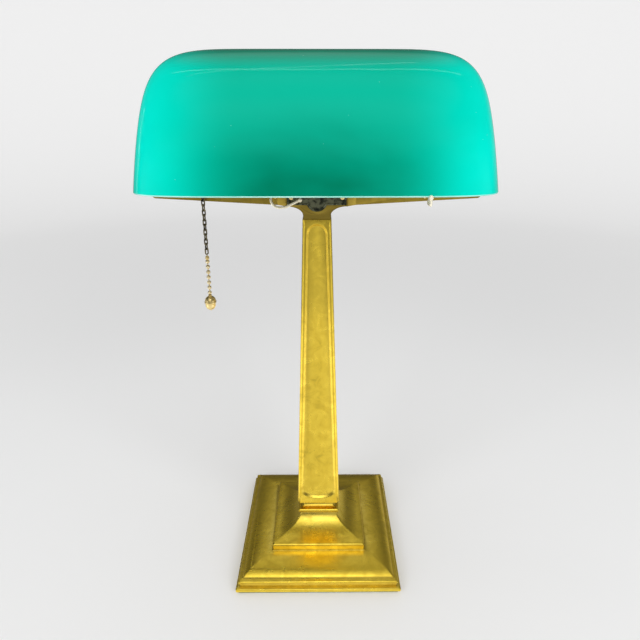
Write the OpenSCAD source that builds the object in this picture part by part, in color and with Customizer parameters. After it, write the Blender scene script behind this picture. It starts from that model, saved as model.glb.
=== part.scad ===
// Banker's desk lamp: a square moulded base, a tapered square column with a sunk panel on each
// face, a T-shaped arm, and a long cased-glass shade over a horizontal pull-chain lamp socket.
// Millimetres, +Z up, origin on the table under the middle of the base, the front faces -Y.

/* [Base] */
// Side of the square plinth
base_side = 130; // [115:1:170]
// Thickness of the felt pad under the base
pad_t = 1.5; // [1:0.5:3]
// Height of the plinth moulding above the pad
plinth_h = 8.4; // [7.5:0.1:12]
// Height of the rounded step above the plinth moulding
ovolo_h = 5.8; // [4:0.1:9]
// Side of the raised square step in the middle of the base
step_side = 76; // [64:1:90]
// Height of the raised square step
step_h = 6.2; // [4:0.1:10]
// Height of the hollow-sided foot above the step
foot_rise = 13.2; // [10:0.1:20]
// Side of the neck where the hollow-sided foot ends
neck_side = 31.6; // [29:0.1:38]
// Height from the neck's bead to the underside of the column
neck_h = 10.6; // [9:0.1:16]
// Wall of the hollow base casting
base_wall = 3.4; // [2.5:0.1:4]

/* [Column] */
// Side of the column at its lower end
column_foot_side = 35; // [31:0.5:44]
// Side of the column at its upper end
column_top_side = 20.8; // [19:0.2:28]
// Length of the column
column_h = 241.8; // [190:1:320]
// Flat margin beside each sunk panel
panel_margin = 3.6; // [3:0.1:5]
// Depth of each sunk panel
panel_depth = 1.6; // [0.8:0.1:2]
// Wall behind the sunk panels
column_wall = 2; // [1.4:0.1:2.4]

/* [Stem] */
// Outer diameter of the threaded stem tube
stem_d = 9.8; // [8:0.1:10]
// Bore of the stem tube
stem_bore = 6.4; // [4:0.1:6.6]

/* [Arm] */
// Height of the arm's head from the top of the column to the top of the arm
head_h = 22; // [20:0.5:30]
// Thickness of the arm from front to back, beyond its head
arm_depth = 12; // [10:0.5:14]
// Height of the arm at its tips
tip_h = 7.4; // [6:0.1:10]
// Thickness of the pads between the arm and the glass
rest_t = 1.6; // [1:0.1:2.5]

/* [Shade] */
// Length of the shade at its rim
shade_l = 237.2; // [196:1:285]
// Depth of the shade at its rim, from front to back
shade_d = 127.2; // [118:1:160]
// Height of the shade
shade_h = 88.7; // [84:1:120]
// Thickness of the glass
glass_t = 3.5; // [2.5:0.1:4.5]
// Inward lean of the shade's ends, per unit of height
end_lean = 0.15; // [0.05:0.01:0.18]

/* [Socket and bulb] */
// Outer diameter of the socket's shell
socket_d = 33.6; // [33:0.1:41]
// Length of the socket's shell
socket_l = 48; // [46:0.5:56]
// Largest diameter of the bulb
bulb_d = 60; // [50:1:64]
// Length of the bulb's glass
bulb_l = 83; // [76:1:95]
// Height of the bulb's axis above the arm
lamp_rise = 36.5; // [34:0.5:42]

/* [Pull chain] */
// Distance from the shade's end to the pull chain
chain_inset = 38.3; // [36:0.1:50]
// Travel of the pull chain
pull_travel = 7; // [5:0.5:8]
// Number of links in the upper chain
link_count = 17; // [8:1:20]
// Distance from one link to the next
link_pitch = 3.52; // [3.4:0.01:5]
// Number of beads in the lower chain
bead_count = 7; // [4:1:12]
// Distance from one bead to the next
bead_pitch = 4; // [3.4:0.1:5]
// Diameter of a bead
bead_d = 3; // [2.4:0.1:3.2]
// Diameter of the acorn
acorn_d = 8.8; // [7:0.1:12]
// Height of the acorn
acorn_h = 12.4; // [9:0.1:16]

/* [Hooks] */
// Diameter of the hooks' spring wire
hook_wire_d = 1.8; // [1.2:0.1:2]
// Diameter of the ball on each hook's end
hook_ball_d = 3; // [2.6:0.1:4]

/* [Hidden] */
$fn = 64;
fit = 0.05;        // radial clearance of a running fit
gap = 0.3;         // space between pieces that move past each other
far = 400;         // longer than the object, for cuts that go right through
arc_steps = 10;    // straight steps in a moulding's curve

// Colours
brass_c = "#b8962f";
old_brass_c = "#7a6224";
dark_c = "#3a3226";
steel_c = "#8f9194";
glass_c = "#10b090";

// Heights through the lamp
plinth_z = pad_t + plinth_h;
shelf_z = plinth_z + ovolo_h;
step_z = shelf_z + step_h;
neck_z = step_z + foot_rise;
column_z = neck_z + neck_h;
head_z = column_z + column_h;
arm_z = head_z + head_h;
rim_z = arm_z + rest_t + gap;
lamp_z = arm_z + lamp_rise;

// Half widths and radii
base_r = base_side / 2;
step_r = step_side / 2;
neck_r = neck_side / 2;
foot_r = column_foot_side / 2;
top_r = column_top_side / 2;
stem_r = stem_d / 2;
stem_hole_r = stem_r + fit;
taper = atan((foot_r - top_r) / column_h);

// Places along and in front of the arm
chain_x = shade_l / 2 - chain_inset;
bracket_t = 1.5;
bracket_x = -chain_x - 22.7;    // outer face of the socket bracket's upright
cap_x = bracket_x + bracket_t;  // where the socket's cap meets the bracket
shell_x = cap_x + 10.5;         // closed end of the socket's shell
mouth_end = shell_x + socket_l; // open end of the socket's shell
chain_y = -10.5;                // the pull chain hangs in front of the arm

// ---- Shared shapes ----

// Points of an elliptical arc in a moulding's profile
function arc(cx, cz, rx, rz, from, to, steps = arc_steps) =
    [for (i = [0:steps]) let (a = from + (to - from) * i / steps) [cx + rx * cos(a), cz + rz * sin(a)]];

function mirrored(profile) =
    concat(profile, [for (i = [len(profile) - 1:-1:0]) [-profile[i][0], profile[i][1]]]);

// A solid with square plan whose half width follows a profile of [half width, height] points
module square_moulding(profile) {
    reach = 2 * max([for (p = profile) p[0]]) + 2;
    intersection() {
        rotate([90, 0, 0]) linear_extrude(height = reach, center = true) polygon(mirrored(profile));
        rotate([90, 0, 90]) linear_extrude(height = reach, center = true) polygon(mirrored(profile));
    }
}

module tube(r_out, r_in, h) {
    difference() {
        cylinder(r = r_out, h = h);
        translate([0, 0, -1]) cylinder(r = r_in, h = h + 2);
    }
}

// A turned piece about the lamp's horizontal axis, from [distance along X, radius] points
module turned_x(points) {
    translate([0, 0, lamp_z]) rotate([0, 90, 0]) rotate_extrude()
        polygon([for (p = points) [p[1], p[0]]]);
}

module rod_x(x0, x1, r, y = 0, z = lamp_z) {
    translate([x0, y, z]) rotate([0, 90, 0]) cylinder(r = r, h = x1 - x0);
}

module hex_nut(across, h, hole_r) {
    difference() {
        cylinder(d = across / cos(30), h = h, $fn = 6);
        translate([0, 0, -1]) cylinder(r = hole_r, h = h + 2);
    }
}

// Cross-section frame carried along a path without twisting
function unit(v) = v / norm(v);
function tangent(p, i) = unit(p[min(i + 1, len(p) - 1)] - p[max(i - 1, 0)]);
function carried(p, i, side) = let (t = tangent(p, i)) unit(side - t * (side * t));
function sides_along(p, first) = [for (i = 0, s = carried(p, 0, first); i < len(p);
    i = i + 1, s = i < len(p) ? carried(p, i, s) : s) s];

// A round wire along a path; a closed path joins its end to its start
module wire(path, r, first = [0, 1, 0], closed = false, sides = 10) {
    n = len(path);
    normals = sides_along(path, first);
    points = [for (i = [0:n - 1]) let (
            t = closed ? unit(path[(i + 1) % n] - path[(i + n - 1) % n]) : tangent(path, i),
            a = unit(normals[i] - t * (normals[i] * t)), b = cross(t, a))
        for (k = [0:sides - 1]) path[i] + r * (cos(360 * k / sides) * a + sin(360 * k / sides) * b)];
    last = closed ? n - 1 : n - 2;
    walls = [for (i = [0:last]) for (k = [0:sides - 1]) let (
            j = (i + 1) % n, m = (k + 1) % sides)
        [i * sides + k, j * sides + k, j * sides + m, i * sides + m]];
    ends = closed ? [] : [[for (k = [0:sides - 1]) k], [for (k = [sides - 1:-1:0]) (n - 1) * sides + k]];
    polyhedron(points, concat(walls, ends), convexity = 6);
}

// Points of a rounded path: each corner after the first is cut by a short curve
function bend(a, b, c, cut, steps = 4) = let (p = b + unit(a - b) * cut, q = b + unit(c - b) * cut)
    [for (i = [0:steps]) let (t = i / steps) (1 - t) * (1 - t) * p + 2 * t * (1 - t) * b + t * t * q];
function rounded_path(p, cut) = concat([p[0]],
    [for (i = [1:len(p) - 2]) each bend(p[i - 1], p[i], p[i + 1], cut)], [p[len(p) - 1]]);

// ---- Base ----

lip_h = 3;
lip_edge = 0.5;
cove_in = 2.2;
bead_r = 1.3;
ovolo_in = 24;
ovolo_out = 5;
bead_in = 2;
neck_bead_r = 1.6;
neck_waist = 3.4;
collar_z = neck_z + neck_bead_r * 2;

base_profile = concat(
    [[base_r, pad_t], [base_r, pad_t + lip_h - lip_edge], [base_r - lip_edge, pad_t + lip_h]],
    [[base_r - cove_in, pad_t + lip_h + 0.8], [base_r - cove_in, plinth_z - 2 * bead_r]],
    arc(base_r - bead_in - bead_r, plinth_z - bead_r, bead_r, bead_r, -60, 90, 6),
    arc(base_r - ovolo_in, plinth_z, ovolo_in - ovolo_out, ovolo_h, 0, 90, 14),
    [[step_r, shelf_z]],
    [[step_r, step_z - 0.4], [step_r - 0.4, step_z]],
    arc(step_r, neck_z, step_r - neck_r + 0.6, foot_rise, 268, 180),
    arc(neck_r, neck_z + neck_bead_r, neck_bead_r, neck_bead_r, -90, 90, 6),
    arc(neck_r, collar_z + neck_waist, neck_waist, neck_waist, 270, 180, 6),
    [[neck_r - neck_waist, column_z]]);

cavity_profile = concat(
    [[base_r - base_wall - cove_in, pad_t - 1], [base_r - base_wall - cove_in, plinth_z - base_wall]],
    arc(base_r - ovolo_in, plinth_z - base_wall, ovolo_in - ovolo_out - base_wall, ovolo_h, 0, 90, 8),
    [[step_r - base_wall, shelf_z - base_wall],
        [step_r - base_wall, step_z - base_wall],
        [neck_r + (step_r - neck_r) * 0.45, step_z - base_wall + 1],
        [neck_r - base_wall + 1.5, step_z + foot_rise * 0.5 - base_wall],
        [neck_r - base_wall - 2, neck_z - base_wall]]);

weight_z = pad_t + 0.1;
weight_top = shelf_z - base_wall - 0.8;
weight_r = base_r - ovolo_in + 4;
pocket_r = 16;
pocket_z = weight_top - 4.2;
inlet_z = pad_t + 4.9;
inlet_r = 2.3;
bushing_r = 3.5;
bushing_l = 12.2;
flange_r = 4.2;
inlet_face = base_r - bead_in - 0.7;
channel_w = 9;

module inlet_hole(r, from, to) {
    translate([0, from, inlet_z]) rotate([-90, 0, 0]) cylinder(r = r, h = to - from);
}

module base_pad() color("#2b4a33") linear_extrude(height = pad_t) square(base_side - 2.4, center = true);

module base_shell() color(brass_c) difference() {
    square_moulding(base_profile);
    square_moulding(cavity_profile);
    cylinder(r = stem_hole_r, h = far);
    inlet_hole(bushing_r + fit, base_r / 2, base_r + 1);
    inlet_hole(flange_r + 0.2, inlet_face, base_r + 1);
}

module base_weight() color("#333438") difference() {
    translate([-weight_r, -weight_r, weight_z]) cube([2 * weight_r, 2 * weight_r, weight_top - weight_z]);
    translate([0, 0, -1]) cylinder(r = pocket_r, h = pocket_z + 1);
    cylinder(r = stem_hole_r, h = far);
    translate([-channel_w / 2, 0, 0]) cube([channel_w, base_side, inlet_z + 3]);
}

module cord_bushing() color("#1d1c1a") difference() {
    union() {
        inlet_hole(bushing_r, inlet_face - bushing_l, inlet_face);
        inlet_hole(flange_r, inlet_face, inlet_face + 1.6);
    }
    inlet_hole(inlet_r, 0, base_side);
}

washer_t = 1.2;
clamp_nut_h = 4;

module clamp_washer() color(steel_c) translate([0, 0, pocket_z - washer_t])
    tube(stem_r + 4, stem_hole_r, washer_t);

module clamp_nut() color(steel_c) translate([0, 0, pocket_z - washer_t - clamp_nut_h])
    hex_nut(15, clamp_nut_h, stem_hole_r);

stem_top = arm_z + 5;

module stem_tube() color(old_brass_c) translate([0, 0, pad_t + gap])
    tube(stem_r, stem_bore / 2, stem_top - pad_t - gap);

// ---- Column ----

column_floor = 4;
column_ceiling = 6;
panel_foot = 4.6;
panel_head = 3.2;
panel_bow = 0.5; // how round the panel's lower end is

// One sunk panel: tapered sides, a bowed lower end and a round upper end
module panel_outline() {
    r0 = foot_r - panel_margin;
    r1 = top_r - panel_margin;
    polygon(concat(arc(0, panel_foot + r0 * panel_bow, r0, r0 * panel_bow, 180, 360, 12),
        arc(0, column_h - panel_head - r1, r1, r1, 0, 180, 16)));
}

module column() color(brass_c) difference() {
    square_moulding([[foot_r, column_z], [top_r, head_z]]);
    square_moulding([
        [foot_r - panel_depth - column_wall, column_z + column_floor],
        [top_r - panel_depth - column_wall, head_z - column_ceiling]]);
    for (a = [0, 90, 180, 270]) rotate([0, 0, a]) translate([0, -foot_r, column_z])
        rotate([-taper, 0, 0]) translate([0, panel_depth, 0]) rotate([90, 0, 0])
            linear_extrude(height = panel_depth + 5) panel_outline();
    cylinder(r = stem_hole_r, h = far);
}

// ---- Arm ----

collar_r = top_r - 0.5;
collar_h = 3;
head_r = 22;
arm_low_z = arm_z - 12.5;
tip_x = shade_l / 2 - 1;
tip_z = arm_z - tip_h;
tip_round = 3.4;
lug_out = shade_l / 2 - glass_t - 1.4;
lug_t = 3.6;
lug_h = 7;
boss_r = 15.3;
seat_t = 1.2;
plate_l = 42;
plate_h = 10.6;
plate_t = 1.2;
plate_top = arm_z - 0.8;
plate_tab_r = 7.6;
pin_x = 18;
pin_r = 0.9;
pin_z = plate_top - plate_h / 2;
arm_front = arm_depth / 2;
boss_z = arm_z - 2.7;
trough_w = 6;
trough_d = 3;

arm_outline = concat(
    [[collar_r, head_z], [collar_r, head_z + collar_h]],
    arc(head_r, head_z + collar_h, head_r - collar_r, arm_low_z - head_z - collar_h, 180, 90),
    [[tip_x - tip_round - 1, tip_z]],
    arc(tip_x - tip_round, tip_z + tip_round, tip_round, tip_round, -90, 0, 6),
    [[tip_x, arm_z], [lug_out, arm_z], [lug_out, arm_z + lug_h],
        [lug_out - lug_t, arm_z + lug_h], [lug_out - lug_t, arm_z]]);

arm_plan = [[-tip_x - 1, -arm_front], [-head_r - 6, -arm_front], [-head_r, -collar_r],
    [head_r, -collar_r], [head_r + 6, -arm_front], [tip_x + 1, -arm_front],
    [tip_x + 1, arm_front], [head_r + 6, arm_front], [head_r, collar_r],
    [-head_r, collar_r], [-head_r - 6, arm_front], [-tip_x - 1, arm_front]];

screw_x = [bracket_x + 6, bracket_x + 13];
bracket_screw_r = 1.6;

// Where the hooks hang, left and right
eye_x = [-29, 76];
eye_ring_r = 2.5;
eye_wire_r = 0.8;
eye_z = arm_z - 3.5;
eye_y = arm_front + 5;

module plate_seat() {
    rotate([90, 0, 0]) linear_extrude(height = collar_r + seat_t) intersection() {
        union() {
            translate([0, boss_z]) circle(r = boss_r);
            translate([-plate_l / 2 - 1, plate_top - plate_h - 1]) square([plate_l + 2, plate_h + 1.8]);
        }
        translate([-far / 2, 0]) square([far, arm_z]);
    }
}

module arm() color(brass_c) difference() {
    union() {
        intersection() {
            rotate([90, 0, 0]) linear_extrude(height = far, center = true) polygon(mirrored(arm_outline));
            translate([0, 0, head_z - 1]) linear_extrude(height = far) polygon(arm_plan);
        }
        plate_seat();
    }
    cylinder(r = stem_hole_r, h = far);
    translate([bracket_x + 18, -trough_w / 2, arm_z - trough_d]) cube([-bracket_x - 18, trough_w, 20]);
    for (x = screw_x) translate([x, 0, arm_z - 5]) cylinder(r = bracket_screw_r + fit, h = 20);
    for (x = [-pin_x, pin_x]) translate([x, 0, pin_z]) rotate([90, 0, 0])
        cylinder(r = pin_r + fit, h = far);
    for (x = eye_x) translate([x, 0, eye_z]) rotate([90, 0, 0]) cylinder(r = eye_wire_r + fit, h = far);
}

module arm_nut() color(old_brass_c) translate([0, 0, arm_z]) hex_nut(14, 3.4, stem_hole_r);

module name_plate() color(dark_c) translate([0, -collar_r - seat_t, 0]) rotate([90, 0, 0])
    linear_extrude(height = plate_t) difference() {
        union() {
            translate([-plate_l / 2, plate_top - plate_h]) square([plate_l, plate_h]);
            translate([0, plate_top - plate_h + plate_tab_r - 4.6]) circle(r = plate_tab_r);
        }
        translate([-far / 2, plate_top]) square([far, far]);
        for (x = [-pin_x, pin_x]) translate([x, pin_z]) circle(r = pin_r + fit);
    }

module plate_pins() color(old_brass_c) for (x = [-pin_x, pin_x])
    translate([x, -collar_r - seat_t - plate_t, pin_z]) rotate([90, 0, 0]) {
        cylinder(r1 = 1.6, r2 = 1, h = 0.8);
        translate([0, 0, -6]) cylinder(r = pin_r, h = 6.4);
    }

module rest_pads() color("#5b4a38") for (s = [-1, 1])
    translate([s > 0 ? lug_out + 0.1 : -tip_x, -arm_front + 0.4, arm_z])
        cube([tip_x - lug_out - 0.1, arm_depth - 0.8, rest_t]);

// ---- Wire hooks ----

// A screw eye: its ring stands in front of the arm with its hole along X
module hook_eyes() color(old_brass_c) for (x = eye_x) translate([x, -eye_y, eye_z]) {
    rotate([0, 90, 0]) rotate_extrude() translate([eye_ring_r, 0]) circle(r = eye_wire_r);
    translate([0, eye_y - 2, 0]) rotate([90, 0, 0])
        cylinder(r = eye_wire_r, h = eye_y - 2 - eye_ring_r);
}

hook_r = hook_wire_d / 2;
rim_front = shade_d / 2;

left_hook_path = rounded_path([[eye_x[0] + 3, -eye_y, eye_z], [eye_x[0] - 2, -eye_y, eye_z],
    [eye_x[0] - 3.4, -eye_y - 4, eye_z - 3.4], [eye_x[0] - 1.6, -eye_y - 5, eye_z - 7.2],
    [eye_x[0] + 2, -eye_y - 5, eye_z - 9], [eye_x[0] + 7, -eye_y - 5, eye_z - 8.6],
    [eye_x[0] + 17.4, -eye_y - 5, eye_z - 3.6]], 1.8);

right_hook_path = rounded_path([[eye_x[1] + 3, -eye_y, eye_z], [eye_x[1] - 3, -eye_y, eye_z],
    [eye_x[1] - 3, -eye_y - 5, eye_z + 2], [eye_x[1] - 5, -rim_front + 12, rim_z + 1.2],
    [eye_x[1] - 6.6, -rim_front + 7, rim_z - 4.6], [eye_x[1] - 7, -rim_front - 2.2, rim_z - 4.4],
    [eye_x[1] - 7, -rim_front - 2.2, rim_z + 0.4]], 1.4);

module hook(path) {
    wire(path, hook_r, first = [0, 0, 1]);
    translate(path[0]) sphere(d = hook_ball_d - 0.4, $fn = 32);
    translate(path[len(path) - 1]) sphere(d = hook_ball_d, $fn = 32);
}

module left_hook() color("#d8cfae") hook(left_hook_path);
module right_hook() color("#d8cfae") hook(right_hook_path);

// ---- Shade ----

end_power = 7;       // squareness of the shade's shoulders, seen from the front
section_power = 2.1; // roundness of its section, seen from the end
corner_power = 6;    // squareness of its corners, seen from above
shade_rows = 16;
shade_sides = 72;

function power(x, n) = sign(x) * pow(abs(x), 2 / n);
function shell_ring(l, d, h, i) = let (
        z = h * sin(90 * i / shade_rows), k = min(z / h, 0.99999),
        a = (l - end_lean * z) * pow(1 - pow(k, end_power), 1 / end_power),
        b = d * pow(1 - pow(k, section_power), 1 / section_power))
    [for (j = [0:shade_sides - 1]) let (t = 360 * (j + 0.5) / shade_sides)
        [a * power(cos(t), corner_power), b * power(sin(t), corner_power), z]];
function shell_points(l, d, h) = concat(
    [for (i = [0:shade_rows - 1]) each shell_ring(l, d, h, i)], [[0, 0, h]]);

// The closed form under the shade's outer or inner surface, standing on its rim
module shade_form(l, d, h) {
    n = shade_sides;
    top = shade_rows * n;
    polyhedron(shell_points(l, d, h), concat(
        [for (i = [0:shade_rows - 2]) for (j = [0:n - 1])
            [i * n + j, (i + 1) * n + j, (i + 1) * n + (j + 1) % n, i * n + (j + 1) % n]],
        [for (j = [0:n - 1]) [top - n + j, top, top - n + (j + 1) % n]],
        [[for (j = [0:n - 1]) j]]), convexity = 4);
}

module shade() color(glass_c) translate([0, 0, rim_z]) difference() {
    shade_form(shade_l / 2, shade_d / 2, shade_h);
    translate([0, 0, -0.01]) shade_form(shade_l / 2 - glass_t, shade_d / 2 - glass_t, shade_h - glass_t);
}

// ---- Socket ----

shell_r = socket_d / 2;
shell_t = 0.7;
cap_t = 0.9;
liner_t = 0.7;
liner_r = shell_r - shell_t - fit;
nipple_r = 4.9;
bracket_w = 12;
cap_hub_r = 7.5;
cap_hub_l = 3.5;
cap_dome_l = 6;

module socket_bracket() color(old_brass_c) difference() {
    union() {
        translate([bracket_x, -bracket_w / 2, arm_z]) cube([18, bracket_w, bracket_t]);
        translate([bracket_x, -bracket_w / 2, arm_z]) cube([bracket_t, bracket_w, lamp_rise]);
        rod_x(bracket_x, cap_x, 8);
    }
    rod_x(bracket_x - 1, cap_x + 1, nipple_r + fit);
    for (x = screw_x) translate([x, 0, arm_z - 1]) cylinder(r = bracket_screw_r + fit, h = 5);
}

module bracket_screws() color(steel_c) for (x = screw_x) translate([x, 0, arm_z - 4.5]) {
    cylinder(r = bracket_screw_r, h = 4.6 + bracket_t);
    translate([0, 0, 4.5 + bracket_t]) difference() {
        cylinder(r1 = 3, r2 = 2.2, h = 1.8);
        translate([-4, -0.4, 1]) cube([8, 0.8, 2]);
    }
}

module nipple() color(old_brass_c) difference() {
    rod_x(bracket_x - 3, cap_x + 6, nipple_r);
    rod_x(bracket_x - 4, cap_x + 7, 3.2);
}

module nipple_nut() color(old_brass_c) translate([bracket_x, 0, lamp_z]) rotate([0, -90, 0])
    hex_nut(13.5, 2.4, nipple_r + fit);

// Points along the cap's dome, at a radius that many millimetres outside the shell
function cap_dome(x, outset) = [for (a = [0:10:90]) [x + cap_dome_l * (1 - cos(a)),
    cap_hub_r + (shell_r + outset - cap_hub_r) * sin(a)]];

// Domed cap: a hub on the nipple, a rounded shoulder and a skirt over the shell
module socket_cap() color(brass_c) turned_x(concat(
    [[cap_x, nipple_r + fit], [cap_x, cap_hub_r]],
    cap_dome(cap_x + cap_hub_l, fit + cap_t),
    [[shell_x + 4, shell_r + fit + cap_t], [shell_x + 4, shell_r + fit]],
    let (inner = cap_dome(cap_x + cap_hub_l + cap_t, fit)) [for (i = [len(inner) - 1:-1:0]) inner[i]],
    [[cap_x + cap_hub_l + cap_t, nipple_r + fit]]));

mouth_hole_r = 4.2;

module mouth_cut(r) translate([-chain_x, chain_y, lamp_z - shell_r - 12])
    cylinder(r = r, h = shell_r + 8);

module socket_shell() color(brass_c) difference() {
    turned_x([[shell_x, shell_r], [mouth_end - 2, shell_r], [mouth_end, shell_r - 1.4],
        [mouth_end, shell_r - 2.6], [mouth_end - 2 - shell_t, shell_r - shell_t],
        [shell_x, shell_r - shell_t]]);
    mouth_cut(mouth_hole_r + fit);
}

module socket_liner() color("#8a7a5c") difference() {
    turned_x([[shell_x + 0.5, liner_r], [mouth_end - 4, liner_r], [mouth_end - 4, liner_r - liner_t],
        [shell_x + 0.5, liner_r - liner_t]]);
    mouth_cut(mouth_hole_r + fit);
}

core_r = shell_r - shell_t - liner_t - 0.3;
rear_x = shell_x + 1;
bay_x0 = -chain_x - 5;
bay_x1 = -chain_x + 5;
front_x1 = bay_x1 + 8;
screw_shell_r = 13.25;
screw_shell_t = 0.4;
screw_shell_x = front_x1 + 0.1;
lever_y = 0;
lever_z = lamp_z - 2;
lever_arm = lever_y - chain_y;
lever_pin_r = 1;
lever_start = pull_travel / lever_arm * 90 / PI; // half the lever's swing

// Porcelain core: a rear disc with the terminals, a bridge over the switch bay and a front disc
module insulator() color("#e8e4da") difference() {
    union() {
        rod_x(rear_x, bay_x0, core_r);
        rod_x(bay_x1, front_x1, core_r);
        translate([bay_x0 - 1, 4, lamp_z + 2]) cube([bay_x1 - bay_x0 + 2, 6, 9]);
    }
    rod_x(rear_x - 1, bay_x0 + 1, 2.2, 0, lamp_z + 5);
    rod_x(bay_x0 - 2, bay_x1 + 2, lever_pin_r + fit, lever_y, lever_z);
    for (y = [-8, 8]) rod_x(rear_x - 1, rear_x + 2.4, 1.5 + fit, y, lamp_z);
    rod_x(front_x1 - 2.4, front_x1 + 1, 1.5 + fit);
}

module terminal_screws() color(brass_c) for (y = [-8, 8]) {
    rod_x(rear_x - 0.1, rear_x + 2.2, 1.5, y);
    difference() {
        rod_x(rear_x - 2, rear_x, 2.8, y);
        translate([rear_x - 3, y - 0.4, lamp_z - 4]) cube([1.8, 0.8, 8]);
    }
}

module screw_shell() color("#b07a3c") difference() {
    turned_x([[screw_shell_x, 4], [screw_shell_x, screw_shell_r + screw_shell_t],
        [mouth_end - 1.5, screw_shell_r + screw_shell_t], [mouth_end - 1.5, screw_shell_r],
        [screw_shell_x + screw_shell_t, screw_shell_r], [screw_shell_x + screw_shell_t, 4]]);
}

contact_x = screw_shell_x + 2.2;

module centre_contact() color("#c08a3a") {
    rod_x(front_x1 - 2.3, front_x1 + 1.2, 1.5);
    rod_x(front_x1 + 1, contact_x, 2.6);
}

module lever_pin() color(steel_c) rod_x(bay_x0 - 1.8, bay_x1 + 1.8, lever_pin_r, lever_y, lever_z);

module switch_lever() color("#9a9ca0") translate([-chain_x - 0.9, lever_y, lever_z])
    rotate([-lever_start, 0, 0]) rotate([0, 90, 0]) difference() {
        union() {
            cylinder(r = 3, h = 1.8);
            translate([-0.8, -lever_arm, 0]) cube([1.6, lever_arm, 1.8]);
        }
        translate([0, 0, -1]) cylinder(r = lever_pin_r + fit, h = 4);
    }

spring_low = lever_z + lever_arm * tan(lever_start) + 1.3;
spring_top = lamp_z + 9.3;
spring_r = 1.3;
spring_wire_r = 0.25;
spring_turns = 7;

module switch_spring() color(steel_c) wire([for (i = [0:spring_turns * 12]) let (a = 30 * i)
    [-chain_x + spring_r * cos(a), chain_y + spring_r * sin(a),
        spring_low + (spring_top - spring_low) * i / (spring_turns * 12)]],
    spring_wire_r, first = [1, 0, 0], sides = 6);

mouth_low = lamp_z - shell_r - 3.4;
mouth_top = lamp_z - 11.2;
mouth_bore = 2.5;

// Bell mouth: a short tube through the shell with a flared lip for the chain to run over
module bell_mouth() color(brass_c) translate([-chain_x, chain_y, mouth_low]) rotate_extrude()
    polygon(concat([[mouth_bore, mouth_top - mouth_low], [mouth_bore, 2.4]],
        arc(mouth_bore + 1.6, 2.4, 1.6, 2.4, 180, 270, 5),
        [[mouth_bore + 2.5, 0], [mouth_bore + 2.5, 0.8]],
        arc(mouth_hole_r + 0.8, 3.2, 0.8, 2.4, 270, 180, 5),
        [[mouth_hole_r, mouth_top - mouth_low]]));

// ---- Pull chain ----

link_wire_r = 0.5;
link_r = 1.1;
chain_top = mouth_low - 0.6;
lead_top = lever_z + lever_arm * tan(lever_start) - 2.4;

// An oval link: half circles of wire joined by straight sides
function oval(z, l, turned) = [for (i = [0:11]) let (
        a = 30 * i + 15, x = link_r * cos(a), s = l / 2 * sign(sin(a)) + link_r * sin(a))
    turned ? [x, 0, z + s] : [0, x, z + s]];

module link(z, turned) wire(oval(z, link_pitch + 2 * link_wire_r - 2 * link_r + 0.1, turned), link_wire_r,
    first = turned ? [1, 0, 0] : [0, 1, 0], closed = true, sides = 6);

// Short stiff lead that passes through the bell mouth and ends at the switch lever
module chain_lead() color(dark_c) translate([-chain_x, chain_y, 0]) {
    translate([0, 0, chain_top]) cylinder(r = 0.9, h = lead_top - chain_top);
    translate([0, 0, lead_top - 1]) cylinder(r = 1.5, h = 1);
    translate([0, 0, chain_top]) sphere(r = 1.3, $fn = 32);
}

link_half = link_pitch / 2 + 2 * link_wire_r + 0.05;
first_link_z = chain_top - 1.6 - link_half;
coupler_z = first_link_z - (link_count - 1) * link_pitch - link_half - 0.2;

module upper_chain() color(dark_c) translate([-chain_x, chain_y, 0]) rotate([0, 0, 45])
    for (i = [0:link_count - 1]) link(first_link_z - link_pitch * i, i % 2 == 0);

// Bell-shaped coupler that joins the last link to the first bead
module chain_coupler() color(old_brass_c) translate([-chain_x, chain_y, coupler_z]) rotate_extrude()
    polygon([[0, 0], [0.5, 0], [0.7, -0.6], [1.2, -0.9], [1.4, -1.5], [1.4, -2.6], [1.1, -3.2],
        [0, -3.2]]);

bead_top = coupler_z - 3.4 - bead_d / 2;
bead_low = bead_top - bead_pitch * (bead_count - 1);

module bead_chain() color(brass_c) translate([-chain_x, chain_y, 0]) {
    for (i = [0:bead_count - 1]) translate([0, 0, bead_top - i * bead_pitch]) sphere(d = bead_d, $fn = 32);
    translate([0, 0, bead_low]) cylinder(r = 0.45, h = bead_top - bead_low);
}

acorn_r = acorn_d / 2;
acorn_top = bead_low - bead_d / 2 - 0.2;

// Turned acorn: a neck, a domed cup with a rim, and a pointed nut below it
module acorn_pull() color(old_brass_c) translate([-chain_x, chain_y, acorn_top - acorn_h]) rotate_extrude()
    polygon(concat([[0, 0], [0.5, 0.1], [0.8, 0.6]],
        [for (p = [[0.5, 0.09], [0.75, 0.18], [0.87, 0.32], [0.9, 0.47], [1, 0.51], [1, 0.58]])
            [acorn_r * p[0], acorn_h * p[1]]],
        arc(0, acorn_h * 0.6, acorn_r * 0.93, acorn_h * 0.33, 6, 68, 6),
        [[1.3, acorn_h * 0.94], [1.3, acorn_h], [0, acorn_h]]));

// ---- Bulb ----

thread_r = screw_shell_r - fit;
bulb_tip_x = contact_x + gap;
insul_x = bulb_tip_x + 1.4;
thread_x = insul_x + 3.2;
thread_end = mouth_end + 0.5;
bulb_r = bulb_d / 2;
bulb_x0 = thread_end + 0.1;
bulb_x1 = bulb_x0 + bulb_l;
bulb_t = 0.9;
glass_neck_r = 12.4;
globe_x = bulb_x1 - bulb_r;

function bulb_outline(inset) = concat(
    [[bulb_x0, glass_neck_r - inset], [bulb_x0 + 6, glass_neck_r + 0.6 - inset]],
    [for (i = [1:8]) let (t = i / 8, x = bulb_x0 + 6 + (globe_x - 12 - bulb_x0 - 6) * t)
        [x, glass_neck_r + 0.6 - inset + (bulb_r * 0.93 - glass_neck_r - 0.6) * t * t * (3 - 2 * t)]],
    [for (a = [112:-8:8]) [globe_x + (bulb_r - inset) * cos(a), (bulb_r - inset) * sin(a)]]);

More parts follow.
